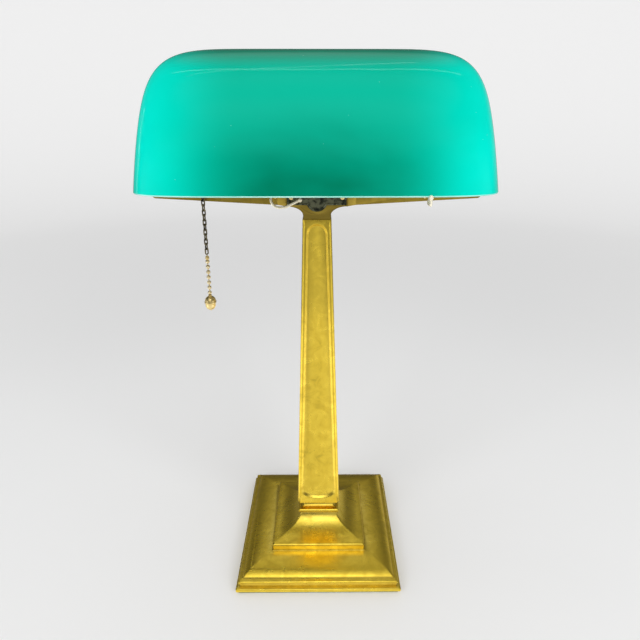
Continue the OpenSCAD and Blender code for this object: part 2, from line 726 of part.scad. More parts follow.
module bulb_glass() color([0.95, 0.95, 0.92, 0.5]) turned_x(concat(
    [[bulb_x0, glass_neck_r - bulb_t]], bulb_outline(0), [[bulb_x1, 0], [bulb_x1 - bulb_t, 0]],
    let (inner = bulb_outline(bulb_t)) [for (i = [len(inner) - 1:-1:1]) inner[i]]));

module bulb_base() color("#c9a24c") turned_x([[thread_x, 0], [thread_x, 11], [thread_x + 1.5, thread_r],
    [thread_end, thread_r], [thread_end, 0]]);

module bulb_insulator() color("#151515") turned_x([[insul_x, 0], [insul_x, 4.6], [thread_x, 9.5],
    [thread_x, 0]]);

module bulb_contact() color("#b8b8b4") turned_x([[bulb_tip_x, 0], [bulb_tip_x, 2.6], [insul_x, 4.2],
    [insul_x, 0]]);

mount_x = bulb_x0 + 34;

module bulb_mount() color([0.9, 0.93, 0.95, 0.6]) turned_x([[thread_end, 0], [thread_end, 9],
    [bulb_x0 + 8, 5], [bulb_x0 + 22, 3], [mount_x, 2.4], [mount_x + 2, 0]]);

filament_x = mount_x + 12;
filament_r = 9;

// Support wires and the coiled filament strung between them in a shallow arch
module bulb_filament() color("#5a5a5e") {
    for (s = [-1, 1]) wire([[mount_x - 3, s * 1.2, lamp_z], [mount_x + 5, s * 4, lamp_z],
        [filament_x, s * filament_r, lamp_z]], 0.35, first = [0, 0, 1], sides = 6);
    wire([for (i = [0:12]) let (t = i / 6 - 1) [filament_x + 2 * (1 - t * t), t * filament_r, lamp_z]],
        0.5, first = [0, 0, 1], sides = 6);
}

base_pad();
base_shell();
base_weight();
cord_bushing();
clamp_nut();
clamp_washer();
stem_tube();
column();
arm();
arm_nut();
name_plate();
plate_pins();
rest_pads();
hook_eyes();
left_hook();
right_hook();
shade();
socket_bracket();
bracket_screws();
nipple();
nipple_nut();
socket_cap();
socket_shell();
socket_liner();
insulator();
screw_shell();
centre_contact();
terminal_screws();
lever_pin();
switch_lever();
switch_spring();
bell_mouth();
chain_lead();
upper_chain();
chain_coupler();
bead_chain();
acorn_pull();
bulb_glass();
bulb_base();
bulb_insulator();
bulb_contact();
bulb_mount();
bulb_filament();
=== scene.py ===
"""Banker's desk lamp: visible pieces, finishes, light and camera.

Lengths inside the piece classes are millimetres in the lamp's own frame (origin under the middle
of the base, +Z up, the front towards -Y). Every mesh is scaled to metres when it is finished.
"""

import logging  # noqa: E402
import math  # noqa: E402
from collections.abc import Callable, Iterable, Sequence  # noqa: E402
from dataclasses import dataclass  # noqa: E402
from enum import Enum  # noqa: E402

import bmesh  # noqa: E402
import bpy  # noqa: E402
from mathutils import Matrix, Vector  # noqa: E402

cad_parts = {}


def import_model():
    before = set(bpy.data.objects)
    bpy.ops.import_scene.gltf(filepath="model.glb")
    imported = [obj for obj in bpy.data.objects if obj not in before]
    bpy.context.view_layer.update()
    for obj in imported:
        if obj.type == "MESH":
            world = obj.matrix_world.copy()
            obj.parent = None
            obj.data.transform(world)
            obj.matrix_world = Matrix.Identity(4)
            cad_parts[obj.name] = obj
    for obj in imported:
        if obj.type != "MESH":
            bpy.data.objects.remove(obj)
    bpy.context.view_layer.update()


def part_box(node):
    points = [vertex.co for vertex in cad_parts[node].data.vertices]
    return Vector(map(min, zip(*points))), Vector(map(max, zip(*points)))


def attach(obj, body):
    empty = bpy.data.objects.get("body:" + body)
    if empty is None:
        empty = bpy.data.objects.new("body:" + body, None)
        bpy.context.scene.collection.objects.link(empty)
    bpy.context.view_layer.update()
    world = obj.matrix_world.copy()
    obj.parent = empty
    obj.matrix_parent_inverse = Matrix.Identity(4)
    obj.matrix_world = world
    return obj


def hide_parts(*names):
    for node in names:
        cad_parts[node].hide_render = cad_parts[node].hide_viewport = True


LOG = logging.getLogger("lamp")
MM = 0.001
MERGE = 1e-4
FINE_ANGLE = math.radians(34)
WHITE = (1.0, 1.0, 1.0)
# Places that several pieces share, in millimetres.
EYE_XS = (-29.0, 76.0)
EYE_Y = -11.0
EYE_Z = 306.0
RIM_Z = 311.4
LAMP_Z = 346.0
CHAIN_X = -80.3
CHAIN_Y = -10.5
Point = tuple[float, float]
Place = tuple[float, float, float]
Colour = tuple[float, float, float]


class Axis(Enum):
    """The direction a turned piece's own axis points in."""

    UP = "up"
    ALONG_X = "along x"
    BACK = "back"

    def matrix(self, origin: Place) -> Matrix:
        """The transform that stands a piece turned about +Z on this axis, at an origin."""
        turn = {
            Axis.UP: Matrix.Identity(4),
            Axis.ALONG_X: Matrix.Rotation(math.radians(90), 4, "Y"),
            Axis.BACK: Matrix.Rotation(math.radians(-90), 4, "X"),
        }[self]
        return Matrix.Translation(origin) @ turn


class Body(Enum):
    """The moving bodies of the lamp."""

    LAMP = "lamp"
    SHADE = "shade"
    BULB = "bulb"
    LEVER = "switch_lever"
    LEAD = "chain_lead"
    UPPER_CHAIN = "upper_chain"
    LOWER_CHAIN = "lower_chain"
    LEFT_HOOK = "left_hook"
    RIGHT_HOOK = "right_hook"


# ---- Node graphs and finishes ----


class Tree:
    """A node tree, and short ways to add nodes to it."""

    def __init__(self, owner: bpy.types.Material | bpy.types.World) -> None:
        """Start an owner's tree afresh.

        Args:
            owner: the material or world.
        """
        owner.use_nodes = True
        self.tree = owner.node_tree
        self.tree.nodes.clear()

    def node(self, kind: str, **settings: object) -> bpy.types.Node:
        """Add a node and set its properties.

        Args:
            kind: the node's class name.
            settings: properties to set on it.

        Returns:
            The node.
        """
        made = self.tree.nodes.new(kind)
        for key, value in settings.items():
            setattr(made, key, value)
        return made

    def feed(self, socket: bpy.types.NodeSocket, value: object) -> None:
        """Link a socket into an input, or set the input's own value."""
        if isinstance(value, bpy.types.NodeSocket):
            self.tree.links.new(value, socket)
        else:
            socket.default_value = value

    def span(self, value: bpy.types.NodeSocket, low: float, high: float, to_low: float = 0.0,
             to_high: float = 1.0) -> bpy.types.NodeSocket:
        """Map a range of values to another, smoothly and clamped.

        Args:
            value: the value to map.
            low: where the range starts.
            high: where it ends.
            to_low: the result at low.
            to_high: the result at high.

        Returns:
            The result socket.
        """
        made = self.node("ShaderNodeMapRange", interpolation_type="SMOOTHSTEP")
        self.feed(made.inputs["Value"], value)
        limits = {"From Min": low, "From Max": high, "To Min": to_low, "To Max": to_high}
        for key, number in limits.items():
            made.inputs[key].default_value = number
        return made.outputs["Result"]

    def math(self, operation: str, a: object, b: object) -> bpy.types.NodeSocket:
        """Combine two values with a Math node's operation."""
        made = self.node("ShaderNodeMath", operation=operation)
        self.feed(made.inputs[0], a)
        self.feed(made.inputs[1], b)
        return made.outputs[0]


class Graph(Tree):
    """A material with a Principled shader, and short ways to add texture nodes to it."""

    def __init__(self, name: str) -> None:
        """Start a material.

        Args:
            name: the finish's name.
        """
        self.material = bpy.data.materials.new(name)
        super().__init__(self.material)
        self.shader = self.node("ShaderNodeBsdfPrincipled")
        output = self.node("ShaderNodeOutputMaterial")
        self.tree.links.new(self.shader.outputs[0], output.inputs["Surface"])

    def place(self, scale: Place = (1, 1, 1), turn: Place = (0, 0, 0)) -> bpy.types.NodeSocket:
        """Object coordinates, stretched and turned.

        Args:
            scale: the stretch along each axis.
            turn: the turn about each axis in degrees.

        Returns:
            The vector socket.
        """
        mapping = self.node("ShaderNodeMapping")
        mapping.inputs["Scale"].default_value = scale
        mapping.inputs["Rotation"].default_value = [math.radians(a) for a in turn]
        self.feed(mapping.inputs["Vector"], self.node("ShaderNodeTexCoord").outputs["Object"])
        return mapping.outputs["Vector"]

    def noise(self, vector: bpy.types.NodeSocket, scale: float, detail: float = 3.0,
              rough: float = 0.55, warp: float = 0.0) -> bpy.types.NodeSocket:
        """Smooth random variation.

        Args:
            vector: the coordinates.
            scale: cycles per metre.
            detail: octaves.
            rough: how strong the finer octaves are.
            warp: distortion.

        Returns:
            The factor socket, about 0 to 1.
        """
        made = self.node("ShaderNodeTexNoise")
        self.feed(made.inputs["Vector"], vector)
        made.inputs["Scale"].default_value = scale
        made.inputs["Detail"].default_value = detail
        made.inputs["Roughness"].default_value = rough
        made.inputs["Distortion"].default_value = warp
        return made.outputs[0]

    def cells(self, vector: bpy.types.NodeSocket, scale: float) -> bpy.types.NodeSocket:
        """The distance to the nearest of many scattered points."""
        made = self.node("ShaderNodeTexVoronoi")
        self.feed(made.inputs["Vector"], vector)
        made.inputs["Scale"].default_value = scale
        return made.outputs["Distance"]

    def blend(self, factor: object, a: object, b: object) -> bpy.types.NodeSocket:
        """Mix two colours.

        Args:
            factor: how much of the second colour shows.
            a: the first colour.
            b: the second colour.

        Returns:
            The colour socket.
        """
        made = self.node("ShaderNodeMix", data_type="RGBA")
        self.feed(made.inputs["Factor"], factor)
        for name, value in (("A", a), ("B", b)):
            socket = next(s for s in made.inputs if s.name == name and s.type == "RGBA")
            self.feed(socket, value if isinstance(value, bpy.types.NodeSocket) else (*value, 1.0))
        return next(s for s in made.outputs if s.type == "RGBA")

    def axis(self, index: int) -> bpy.types.NodeSocket:
        """One of the object coordinates, 0 for X, 1 for Y and 2 for Z."""
        made = self.node("ShaderNodeSeparateXYZ")
        self.feed(made.inputs[0], self.node("ShaderNodeTexCoord").outputs["Object"])
        return made.outputs[index]

    def crevice(self, reach: float, inside: bool = False) -> bpy.types.NodeSocket:
        """How open a spot is, 1 on open ground and less in crevices, or at edges when inside is set."""
        made = self.node("ShaderNodeAmbientOcclusion", only_local=True, inside=inside, samples=6)
        made.inputs["Distance"].default_value = reach
        return made.outputs["AO"]

    def bump(self, height: bpy.types.NodeSocket, depth: float, strength: float = 1.0) -> None:
        """Raise the surface by a height map.

        Args:
            height: the map.
            depth: its height in metres.
            strength: how much of it shows.
        """
        made = self.node("ShaderNodeBump")
        made.inputs["Distance"].default_value = depth
        made.inputs["Strength"].default_value = strength
        self.feed(made.inputs["Height"], height)
        previous = self.shader.inputs["Normal"].links
        if previous:
            self.feed(made.inputs["Normal"], previous[0].from_socket)
        self.feed(self.shader.inputs["Normal"], made.outputs["Normal"])

    def set(self, **values: object) -> None:
        """Feed the shader's inputs; an underscore in a name stands for a space."""
        for key, value in values.items():
            name = key.replace("_", " ")
            socket = next(s for s in self.shader.inputs if s.name.lower() == name.lower())
            if isinstance(value, tuple) and len(value) == 3:
                value = (*value, 1.0)
            self.feed(socket, value)


@dataclass(frozen=True)
class AgedBrass:
    """Brass with a worn lacquer: bright gold with olive and brown patches and specks, crevices darker
    (partly grime, partly painted shade) and broad hollows paler (painted reflected light).
    """

    name: str
    bright: Colour = (0.91, 0.67, 0.075)
    golden: Colour = (0.76, 0.52, 0.042)
    pale: Colour = (0.97, 0.85, 0.30)
    olive: Colour = (0.34, 0.26, 0.036)
    brown: Colour = (0.16, 0.085, 0.025)
    patina: float = 0.5
    shine: float = 0.24
    wave: float = 0.0004
    middle_shade: float = 0.0
    darker_from: float = 0.0
    painted_front_light: bool = False
    grain: Place = (1.0, 1.0, 0.12)

    def build(self) -> bpy.types.Material:
        """Make the material."""
        g = Graph(self.name)
        where = g.place()
        broad = g.noise(where, 24.0, 3.0, 0.6, 0.8)
        mottle = g.noise(where, 95.0, 5.0, 0.62, 1.4)
        rubbed = g.noise(g.place(self.grain), 620.0, 4.0, 0.6)
        cloud = g.math("ADD", g.math("MULTIPLY", broad, 0.55), g.math("MULTIPLY", mottle, 0.45))
        tarnish = g.span(cloud, 0.63 - 0.26 * self.patina, 0.69 - 0.08 * self.patina)
        # Painted shade: the tarnish deepens towards the middle of X, where the arm lies in the glass
        # shade's shadow.
        if self.middle_shade:
            across = g.math("ABSOLUTE", g.axis(0), 0.0)
            middle = g.span(across, self.middle_shade * 0.45, self.middle_shade, 1.15, 0.0)
            tarnish = g.math("MAXIMUM", tarnish, middle)
        # Darker and more olive, in mottled patches, above a given height.
        if self.darker_from:
            upper = g.span(g.axis(2), self.darker_from, self.darker_from + 0.022, 0.0, 1.0)
            darker_top = g.math("MULTIPLY", upper, g.span(mottle, 0.3, 0.65, 0.5, 0.9))
            tarnish = g.math("MAXIMUM", tarnish, darker_top)
        # Painted light: the tarnish fades towards the front (-Y), so the front faces stay bright gold.
        if self.painted_front_light:
            tarnish = g.math("MULTIPLY", tarnish, g.span(g.axis(1), -0.06, -0.012, 0.2, 1.0))
        colour = g.blend(g.span(mottle, 0.35, 0.66), self.bright, self.golden)
        colour = g.blend(g.math("MULTIPLY", tarnish, 0.85), colour, self.olive)
        # Painted reflected light: broad hollows turn pale gold where the brass is untarnished.
        hollow = g.span(g.crevice(0.03), 0.6, 0.97, 0.85, 0.0)
        clean = g.math("SUBTRACT", 1.0, tarnish)
        colour = g.blend(g.math("MULTIPLY", hollow, clean), colour, self.pale)
        specks = g.span(g.cells(where, 420.0), 0.1, 0.2, 1.0, 0.0)
        few = g.span(g.noise(where, 160.0, 1.0), 0.56, 0.68)
        stain = g.math("MULTIPLY", specks, few)
        colour = g.blend(g.math("MULTIPLY", stain, 0.75), colour, self.brown)
        # Darker brown in tight crevices: partly real grime, partly painted shade.
        shut = g.span(g.crevice(0.0026), 0.45, 0.94, 1.0, 0.0)
        grime_and_shade = g.math("MULTIPLY", shut, g.span(mottle, 0.25, 0.6, 0.55, 1.0))
        colour = g.blend(grime_and_shade, colour, self.brown)
        worn = g.span(g.crevice(0.0011, inside=True), 0.25, 0.8, 0.0, 1.0)
        colour = g.blend(g.math("MULTIPLY", worn, 0.6), colour, self.bright)
        rough = g.span(g.math("ADD", cloud, g.math("MULTIPLY", rubbed, 0.35)), 0.5, 0.9,
                       self.shine, self.shine + 0.2)
        rough = g.math("ADD", rough, g.math("MULTIPLY", grime_and_shade, 0.22))
        g.set(base_color=colour, metallic=1.0, roughness=rough)
        g.bump(g.noise(where, 42.0, 2.0, 0.5, 0.6), self.wave, 0.5)
        g.bump(mottle, 0.00026, 0.4)
        g.bump(rubbed, 0.00003, 0.5)
        g.bump(stain, 0.00012, -0.5)
        return g.material


@dataclass(frozen=True)
class DarkMetal:
    """Oxidised metal: nearly black, with the base metal showing on worn edges."""

    name: str
    dark: Colour = (0.035, 0.032, 0.026)
    worn: Colour = (0.34, 0.29, 0.17)
    wear: float = 0.6
    shine: float = 0.36

    def build(self) -> bpy.types.Material:
        """Make the material."""
        g = Graph(self.name)
        where = g.place()
        patches = g.noise(where, 240.0, 4.0, 0.6, 0.6)
        fine = g.noise(where, 1500.0, 3.0)
        edge = g.span(g.crevice(0.0006, inside=True), 0.2, 0.75, 0.0, 1.0)
        show = g.math("MULTIPLY", g.math("MULTIPLY", edge, g.span(patches, 0.35, 0.6)), self.wear)
        paler = tuple(2.2 * c for c in self.dark)
        colour = g.blend(show, g.blend(g.span(patches, 0.4, 0.7), self.dark, paler), self.worn)
        g.set(base_color=colour, metallic=1.0,
              roughness=g.span(patches, 0.3, 0.7, self.shine, self.shine + 0.22))
        g.bump(fine, 0.00004, 0.6)
        g.bump(patches, 0.0001, 0.4)
        return g.material


@dataclass(frozen=True)
class PlainMetal:
    """Clean metal with a slight haze and fine wire or file marks."""

    name: str
    colour: Colour = (0.62, 0.62, 0.60)
    haze: Colour = (0.42, 0.41, 0.38)
    shine: float = 0.24
    metal: float = 1.0
    marks: Place = (1.0, 1.0, 0.15)

    def build(self) -> bpy.types.Material:
        """Make the material."""
        g = Graph(self.name)
        haze = g.noise(g.place(), 190.0, 4.0, 0.6, 0.5)
        marks = g.noise(g.place(self.marks), 1300.0, 3.0)
        g.set(base_color=g.blend(g.span(haze, 0.42, 0.72), self.colour, self.haze), metallic=self.metal,
              roughness=g.span(haze, 0.3, 0.7, self.shine, self.shine + 0.18))
        g.bump(marks, 0.00002, 0.5)
        return g.material


@dataclass(frozen=True)
class CasedGlass:
    """The green casing over white glass, with painted light and shade: paler towards the ends, deeper
    at the lower middle and along the crown.
    """

    name: str
    pale: Colour = (0.0, 0.78, 0.63)
    green: Colour = (0.0, 0.43, 0.29)
    deep: Colour = (0.0, 0.12, 0.055)

    def build(self) -> bpy.types.Material:
        """Make the material."""
        g = Graph(self.name)
        where = g.place()
        along = g.math("ABSOLUTE", g.axis(0), 0.0)
        height = g.axis(2)
        cloud = g.noise(g.place((1.0, 1.0, 1.6)), 11.0, 3.0, 0.5, 0.4)
        # Painted reflected light: paler towards the ends, falling back to green at the very end walls
        # as painted shade.
        ends = g.span(along, 0.045, 0.118)
        # Painted shade: deeper green at the lower middle of the front.
        low = g.span(height, 0.312, 0.378, 1.0, 0.0)
        centre = g.math("MULTIPLY", low, g.span(along, 0.01, 0.095, 1.0, 0.0))
        ends = g.math("MULTIPLY", ends, g.span(along, 0.106, 0.1185, 1.0, 0.25))
        ends = g.math("MULTIPLY", ends, g.span(cloud, 0.25, 0.7, 0.65, 1.0))
        colour = g.blend(ends, self.green, self.pale)
        centre = g.math("MULTIPLY", centre, g.span(cloud, 0.3, 0.75, 0.55, 1.0))
        colour = g.blend(centre, colour, self.deep)
        # Painted shade: deeper green along the crown.
        painted_crown_shade = g.math("MULTIPLY", g.span(height, 0.384, 0.399), g.span(along, 0.06, 0.1, 1.0, 0.35))
        colour = g.blend(g.math("MULTIPLY", painted_crown_shade, 0.75), colour, self.deep)
        pits = g.span(g.cells(where, 210.0), 0.03, 0.055, 1.0, 0.0)
        rare = g.span(g.noise(where, 70.0, 1.0), 0.55, 0.62)
        chips = g.math("MULTIPLY", pits, rare)
        colour = g.blend(g.math("MULTIPLY", chips, 0.6), colour, (0.45, 0.85, 0.72))
        smear = g.noise(g.place((0.35, 1.0, 1.0)), 120.0, 4.0, 0.6, 1.2)
        g.set(base_color=colour, roughness=g.span(smear, 0.35, 0.75, 0.05, 0.13), ior=1.52,
              specular_ior_level=0.14, specular_tint=(0.25, 0.95, 0.85))
        g.bump(g.noise(where, 24.0, 2.0, 0.4), 0.0011, 0.35)
        g.bump(g.noise(g.place((0.25, 1.0, 1.0)), 160.0, 2.0, 0.4), 0.00006, 0.4)
        g.bump(chips, 0.0002, -0.6)
        return g.material


@dataclass(frozen=True)
class Opal:
    """White glass: milky, glossy, with faint yellowing."""

    name: str
    white: Colour = (0.83, 0.84, 0.80)
    tint: Colour = (0.72, 0.75, 0.66)
    shine: float = 0.12

    def build(self) -> bpy.types.Material:
        """Make the material."""
        g = Graph(self.name)
        cloud = g.noise(g.place(), 26.0, 4.0, 0.55, 0.6)
        g.set(base_color=g.blend(g.span(cloud, 0.4, 0.75), self.white, self.tint),
              roughness=g.span(cloud, 0.3, 0.7, self.shine, self.shine + 0.1), ior=1.5, coat_weight=0.2,
              coat_roughness=0.05)
        g.bump(g.noise(g.place(), 45.0, 2.0), 0.0004, 0.25)
        return g.material


@dataclass(frozen=True)
class ClearGlass:
    """Thin blown glass."""

    name: str
    tint: Colour = (0.97, 0.98, 0.97)
    shine: float = 0.02

    def build(self) -> bpy.types.Material:
        """Make the material."""
        g = Graph(self.name)
        ripple = g.noise(g.place(), 60.0, 2.0)
        g.set(base_color=self.tint, transmission_weight=1.0, ior=1.48,
              roughness=g.span(ripple, 0.3, 0.7, self.shine, self.shine + 0.03))
        g.bump(ripple, 0.0003, 0.2)
        return g.material


@dataclass(frozen=True)
class Matt:
    """A dull non-metal with a grain: cork, fibre, hard rubber, porcelain or cast iron."""

    name: str
    light: Colour
    dark: Colour
    rough: float = 0.7
    grain: float = 900.0
    depth: float = 0.0001
    stretch: Place = (1.0, 1.0, 1.0)

    def build(self) -> bpy.types.Material:
        """Make the material."""
        g = Graph(self.name)
        grain = g.noise(g.place(self.stretch), self.grain, 4.0, 0.65)
        cloud = g.noise(g.place(), 70.0, 3.0)
        mixed = g.math("MULTIPLY", g.math("ADD", grain, cloud), 0.5)
        colour = g.blend(g.span(mixed, 0.35, 0.65), self.light, self.dark)
        g.set(base_color=colour,
              roughness=g.span(grain, 0.3, 0.7, self.rough - 0.1, min(self.rough + 0.1, 1.0)))
        g.bump(grain, self.depth, 0.7)
        return g.material


@dataclass(frozen=True)
class Felt:
    """Pressed wool with a faint sheen and loose fibres."""

    name: str
    light: Colour = (0.10, 0.20, 0.13)
    dark: Colour = (0.045, 0.10, 0.065)

    def build(self) -> bpy.types.Material:
        """Make the material."""
        g = Graph(self.name)
        fibres = g.noise(g.place((1.0, 0.35, 1.0), (0, 0, 25)), 2600.0, 4.0, 0.7, 2.0)
        crossing = g.noise(g.place((0.35, 1.0, 1.0), (0, 0, 40)), 2300.0, 4.0, 0.7, 2.0)
        nap = g.math("MULTIPLY", g.math("ADD", fibres, crossing), 0.5)
        g.set(base_color=g.blend(g.span(nap, 0.35, 0.65), self.dark, self.light), roughness=0.95,
              sheen_weight=0.5, sheen_roughness=0.5)
        g.bump(nap, 0.0003, 0.8)
        return g.material


class Paint(Enum):
    """Every finish on the lamp."""

    BRASS = AgedBrass("aged_brass", patina=0.4, darker_from=0.205)
    BASE_BRASS = AgedBrass("base_brass", patina=0.62, wave=0.0006, painted_front_light=True, grain=(0.2, 1.0, 0.2))
    # A darker, browner copy of the brass: painted shade for the arm lying in the glass shade's shadow.
    SHADED_ARM_BRASS = AgedBrass("shaded_arm_brass", bright=(0.56, 0.41, 0.07), golden=(0.36, 0.25, 0.035),
                          pale=(0.24, 0.17, 0.04), olive=(0.055, 0.040, 0.015), patina=0.75, shine=0.3,
                          middle_shade=0.040, grain=(0.12, 1.0, 1.0))
    FITTING = AgedBrass("fitting_brass", bright=(0.80, 0.62, 0.27), golden=(0.60, 0.43, 0.17),
                        pale=(0.70, 0.52, 0.22), patina=0.55, grain=(0.3, 1.0, 1.0))
    BEAD = AgedBrass("bead_brass", bright=(0.98, 0.87, 0.58), golden=(0.86, 0.69, 0.38),
                     pale=(0.90, 0.76, 0.45), olive=(0.40, 0.29, 0.12), patina=0.3, shine=0.2,
                     grain=(1.0, 1.0, 1.0))
    ANTIQUE = AgedBrass("antique_brass", bright=(0.90, 0.72, 0.34), golden=(0.66, 0.49, 0.18),
                        pale=(0.70, 0.52, 0.22), olive=(0.27, 0.19, 0.06), patina=0.5, shine=0.28,
                        grain=(1.0, 1.0, 1.0))
    BLACKENED = DarkMetal("blackened_links")
    PLATE = DarkMetal("bronzed_plate", (0.028, 0.034, 0.026), (0.26, 0.27, 0.17), wear=0.6, shine=0.3)
    WIRE = PlainMetal("bright_wire", (0.97, 0.92, 0.74), (0.80, 0.72, 0.50), shine=0.22, metal=0.4)
    STEEL = PlainMetal("screw_steel")
    TUNGSTEN = PlainMetal("tungsten", colour=(0.30, 0.30, 0.31), haze=(0.20, 0.20, 0.21), shine=0.4)
    GREEN = CasedGlass("green_casing")
    OPAL = Opal("opal_lining")
    # The rim's pale cyan: partly the ground edge's own white core, partly a painted highlight along the
    # rounded rim.
    CUT_EDGE = Opal("ground_edge_glint", white=(0.50, 0.92, 0.83), tint=(0.25, 0.78, 0.66), shine=0.16)
    BULB_GLASS = ClearGlass("bulb_glass")
    PORCELAIN = Matt("porcelain", (0.83, 0.80, 0.72), (0.70, 0.66, 0.56), 0.25, 300.0, 0.00003)
    FIBRE = Matt("pressed_fibre", (0.42, 0.31, 0.18), (0.26, 0.18, 0.10), 0.8, 1500.0, 0.00008,
                 (1, 0.2, 1))
    CORK = Matt("cork_pad", (0.42, 0.28, 0.16), (0.20, 0.12, 0.07), 0.85, 1300.0, 0.0002)
    RUBBER = Matt("hard_rubber", (0.035, 0.034, 0.033), (0.015, 0.015, 0.015), 0.5, 1100.0, 0.00005)
    IRON = Matt("cast_iron", (0.10, 0.10, 0.105), (0.035, 0.033, 0.032), 0.75, 700.0, 0.0003)
    FELT = Felt("green_felt")

    def material(self) -> bpy.types.Material:
        """The built material, made once."""
        found = bpy.data.materials.get(self.value.name)
        return found or self.value.build()


# ---- Shaping ----


def evaluated(holder: bpy.types.Object) -> bpy.types.Mesh:
    """A mesh of what an object looks like with its modifiers or its curve settings."""
    bpy.context.view_layer.update()
    graph = bpy.context.evaluated_depsgraph_get()
    return bpy.data.meshes.new_from_object(holder.evaluated_get(graph))


class Shape:
    """A mesh in the making, in millimetres."""

    def __init__(self) -> None:
        """Start with nothing."""
        self.bm = bmesh.new()

    def strip(self, points: Sequence[Place],
              closed: bool) -> list[bmesh.types.BMVert | bmesh.types.BMEdge]:
        """Join points with edges.

        Args:
            points: the points in order.
            closed: join the last to the first.

        Returns:
            The new vertices and edges.
        """
        verts = [self.bm.verts.new(p) for p in points]
        pairs = list(zip(verts, verts[1:])) + ([(verts[-1], verts[0])] if closed else [])
        return verts + [self.bm.edges.new(pair) for pair in pairs]

    def turned(self, profile: Sequence[Point], origin: Place = (0, 0, 0), axis: Axis = Axis.UP,
               steps: int = 64, closed: bool = False) -> "Shape":
        """Spin a profile of (radius, height) points all the way round.

        Args:
            profile: the profile.
            origin: where its zero height sits.
            axis: the way its height grows.
            steps: how many facets go round.
            closed: the profile is a loop.

        Returns:
            This shape.
        """
        geometry = self.strip([(r, 0.0, h) for r, h in profile], closed)
        bmesh.ops.spin(self.bm, geom=geometry, cent=(0, 0, 0), axis=(0, 0, 1), angle=math.tau,
                       steps=steps, use_merge=True, use_duplicate=False)
        verts = {v for v in geometry if isinstance(v, bmesh.types.BMVert)}
        for face in {f for v in self.bm.verts for f in v.link_faces if not f.tag}:
            verts.update(face.verts)
            face.tag = True
        bmesh.ops.transform(self.bm, matrix=axis.matrix(origin), verts=list(verts))
        return self

    def squared(self, profile: Sequence[Point]) -> "Shape":
        """Carry a closed profile of (half width, height) points round a square plan."""
        geometry = self.strip([(w, -w, z) for w, z in profile], True)
        bmesh.ops.spin(self.bm, geom=geometry, cent=(0, 0, 0), axis=(0, 0, 1), angle=math.tau,
                       steps=4, use_merge=True, use_duplicate=False)
        return self

    def block(self, low: Place, high: Place) -> "Shape":
        """A box between two corners."""
        made = bmesh.ops.create_cube(self.bm, size=1.0)["verts"]
        centre = [(a + b) / 2 for a, b in zip(low, high)]
        bmesh.ops.scale(self.bm, vec=[b - a for a, b in zip(low, high)], verts=made)
        bmesh.ops.translate(self.bm, vec=centre, verts=made)
        return self

    def ball(self, centre: Place, radius: float) -> "Shape":
        """A sphere."""
        made = bmesh.ops.create_uvsphere(self.bm, u_segments=24, v_segments=12, radius=radius)
        bmesh.ops.translate(self.bm, vec=centre, verts=made["verts"])
        return self

    def slab(self, outline: Sequence[Point], y: float, thickness: float) -> "Shape":
        """A plate that stands facing the front, from an (x, z) outline.

        Args:
            outline: the outline, counter-clockwise seen from the front.
            y: the back face's place.
            thickness: how far it reaches towards the front.

        Returns:
            This shape.
        """
        geometry = self.strip([(x, y, z) for x, z in outline], True)
        face = bmesh.ops.contextual_create(self.bm, geom=geometry)["faces"]
        grown = bmesh.ops.extrude_face_region(self.bm, geom=face, use_keep_orig=True)["geom"]
        verts = [v for v in grown if isinstance(v, bmesh.types.BMVert)]
        bmesh.ops.translate(self.bm, vec=(0, -thickness, 0), verts=verts)
        return self

    def join(self, other: "Shape") -> None:
        """Add another shape's mesh to this one."""
        part = bpy.data.meshes.new("part")
        other.bm.to_mesh(part)
        self.bm.from_mesh(part)
        bpy.data.meshes.remove(part)

    def tidy(self) -> "Shape":
        """Merge doubles and point every face outwards."""
        bmesh.ops.remove_doubles(self.bm, verts=self.bm.verts, dist=MERGE)
        bmesh.ops.recalc_face_normals(self.bm, faces=self.bm.faces)
        return self

    def soften(self, edges: Iterable[bmesh.types.BMEdge], width: float, segments: int = 3) -> "Shape":
        """Round some edges.

        Args:
            edges: the edges.
            width: how far the rounding reaches from each edge.
            segments: its facets.

        Returns:
            This shape.
        """
        bmesh.ops.bevel(self.bm, geom=list(edges), offset=width, offset_type="OFFSET",
                        segments=segments, profile=0.5, affect="EDGES", material=-1,
                        clamp_overlap=True)
        return self

    def sharp(self, angle: float) -> list[bmesh.types.BMEdge]:
        """The edges where faces meet at more than an angle in degrees."""
        limit = math.radians(angle)
        return [e for e in self.bm.edges if e.is_manifold and e.calc_face_angle(0.0) > limit]

    def cut(self, tool: "Shape") -> "Shape":
        """Take another shape's volume away from this one."""
        body, cutter = self.raw("cut_body"), tool.raw("cut_tool")
        step = body.modifiers.new("cut", "BOOLEAN")
        step.operation, step.solver, step.object = "DIFFERENCE", "EXACT", cutter
        result = evaluated(body)
        self.bm = bmesh.new()
        self.bm.from_mesh(result)
        bpy.data.objects.remove(body)
        bpy.data.objects.remove(cutter)
        bpy.data.meshes.remove(result)
        return self

    def raw(self, name: str) -> bpy.types.Object:
        """Turn the shape into an object in the scene, still in millimetres."""
        mesh = bpy.data.meshes.new(name)
        self.bm.to_mesh(mesh)
        self.bm.free()
        made = bpy.data.objects.new(name, mesh)
        bpy.context.scene.collection.objects.link(made)
        return made


@dataclass
class Rounding:
    """A live bevel that a piece keeps."""

    width: float
    segments: int = 2
    angle: float = 32.0

    def add(self, piece: bpy.types.Object) -> None:
        """Put the bevel on a piece."""
        step = piece.modifiers.new("edges", "BEVEL")
        step.width, step.segments, step.profile = self.width * MM, self.segments, 0.5
        step.limit_method, step.angle_limit = "ANGLE", math.radians(self.angle)
        step.harden_normals = True


def shade_smooth(mesh: bpy.types.Mesh) -> None:
    """Shade a mesh smooth, except across edges past the fine angle."""
    for face in mesh.polygons:
        face.use_smooth = True
    mesh.set_sharp_from_angle(angle=FINE_ANGLE)


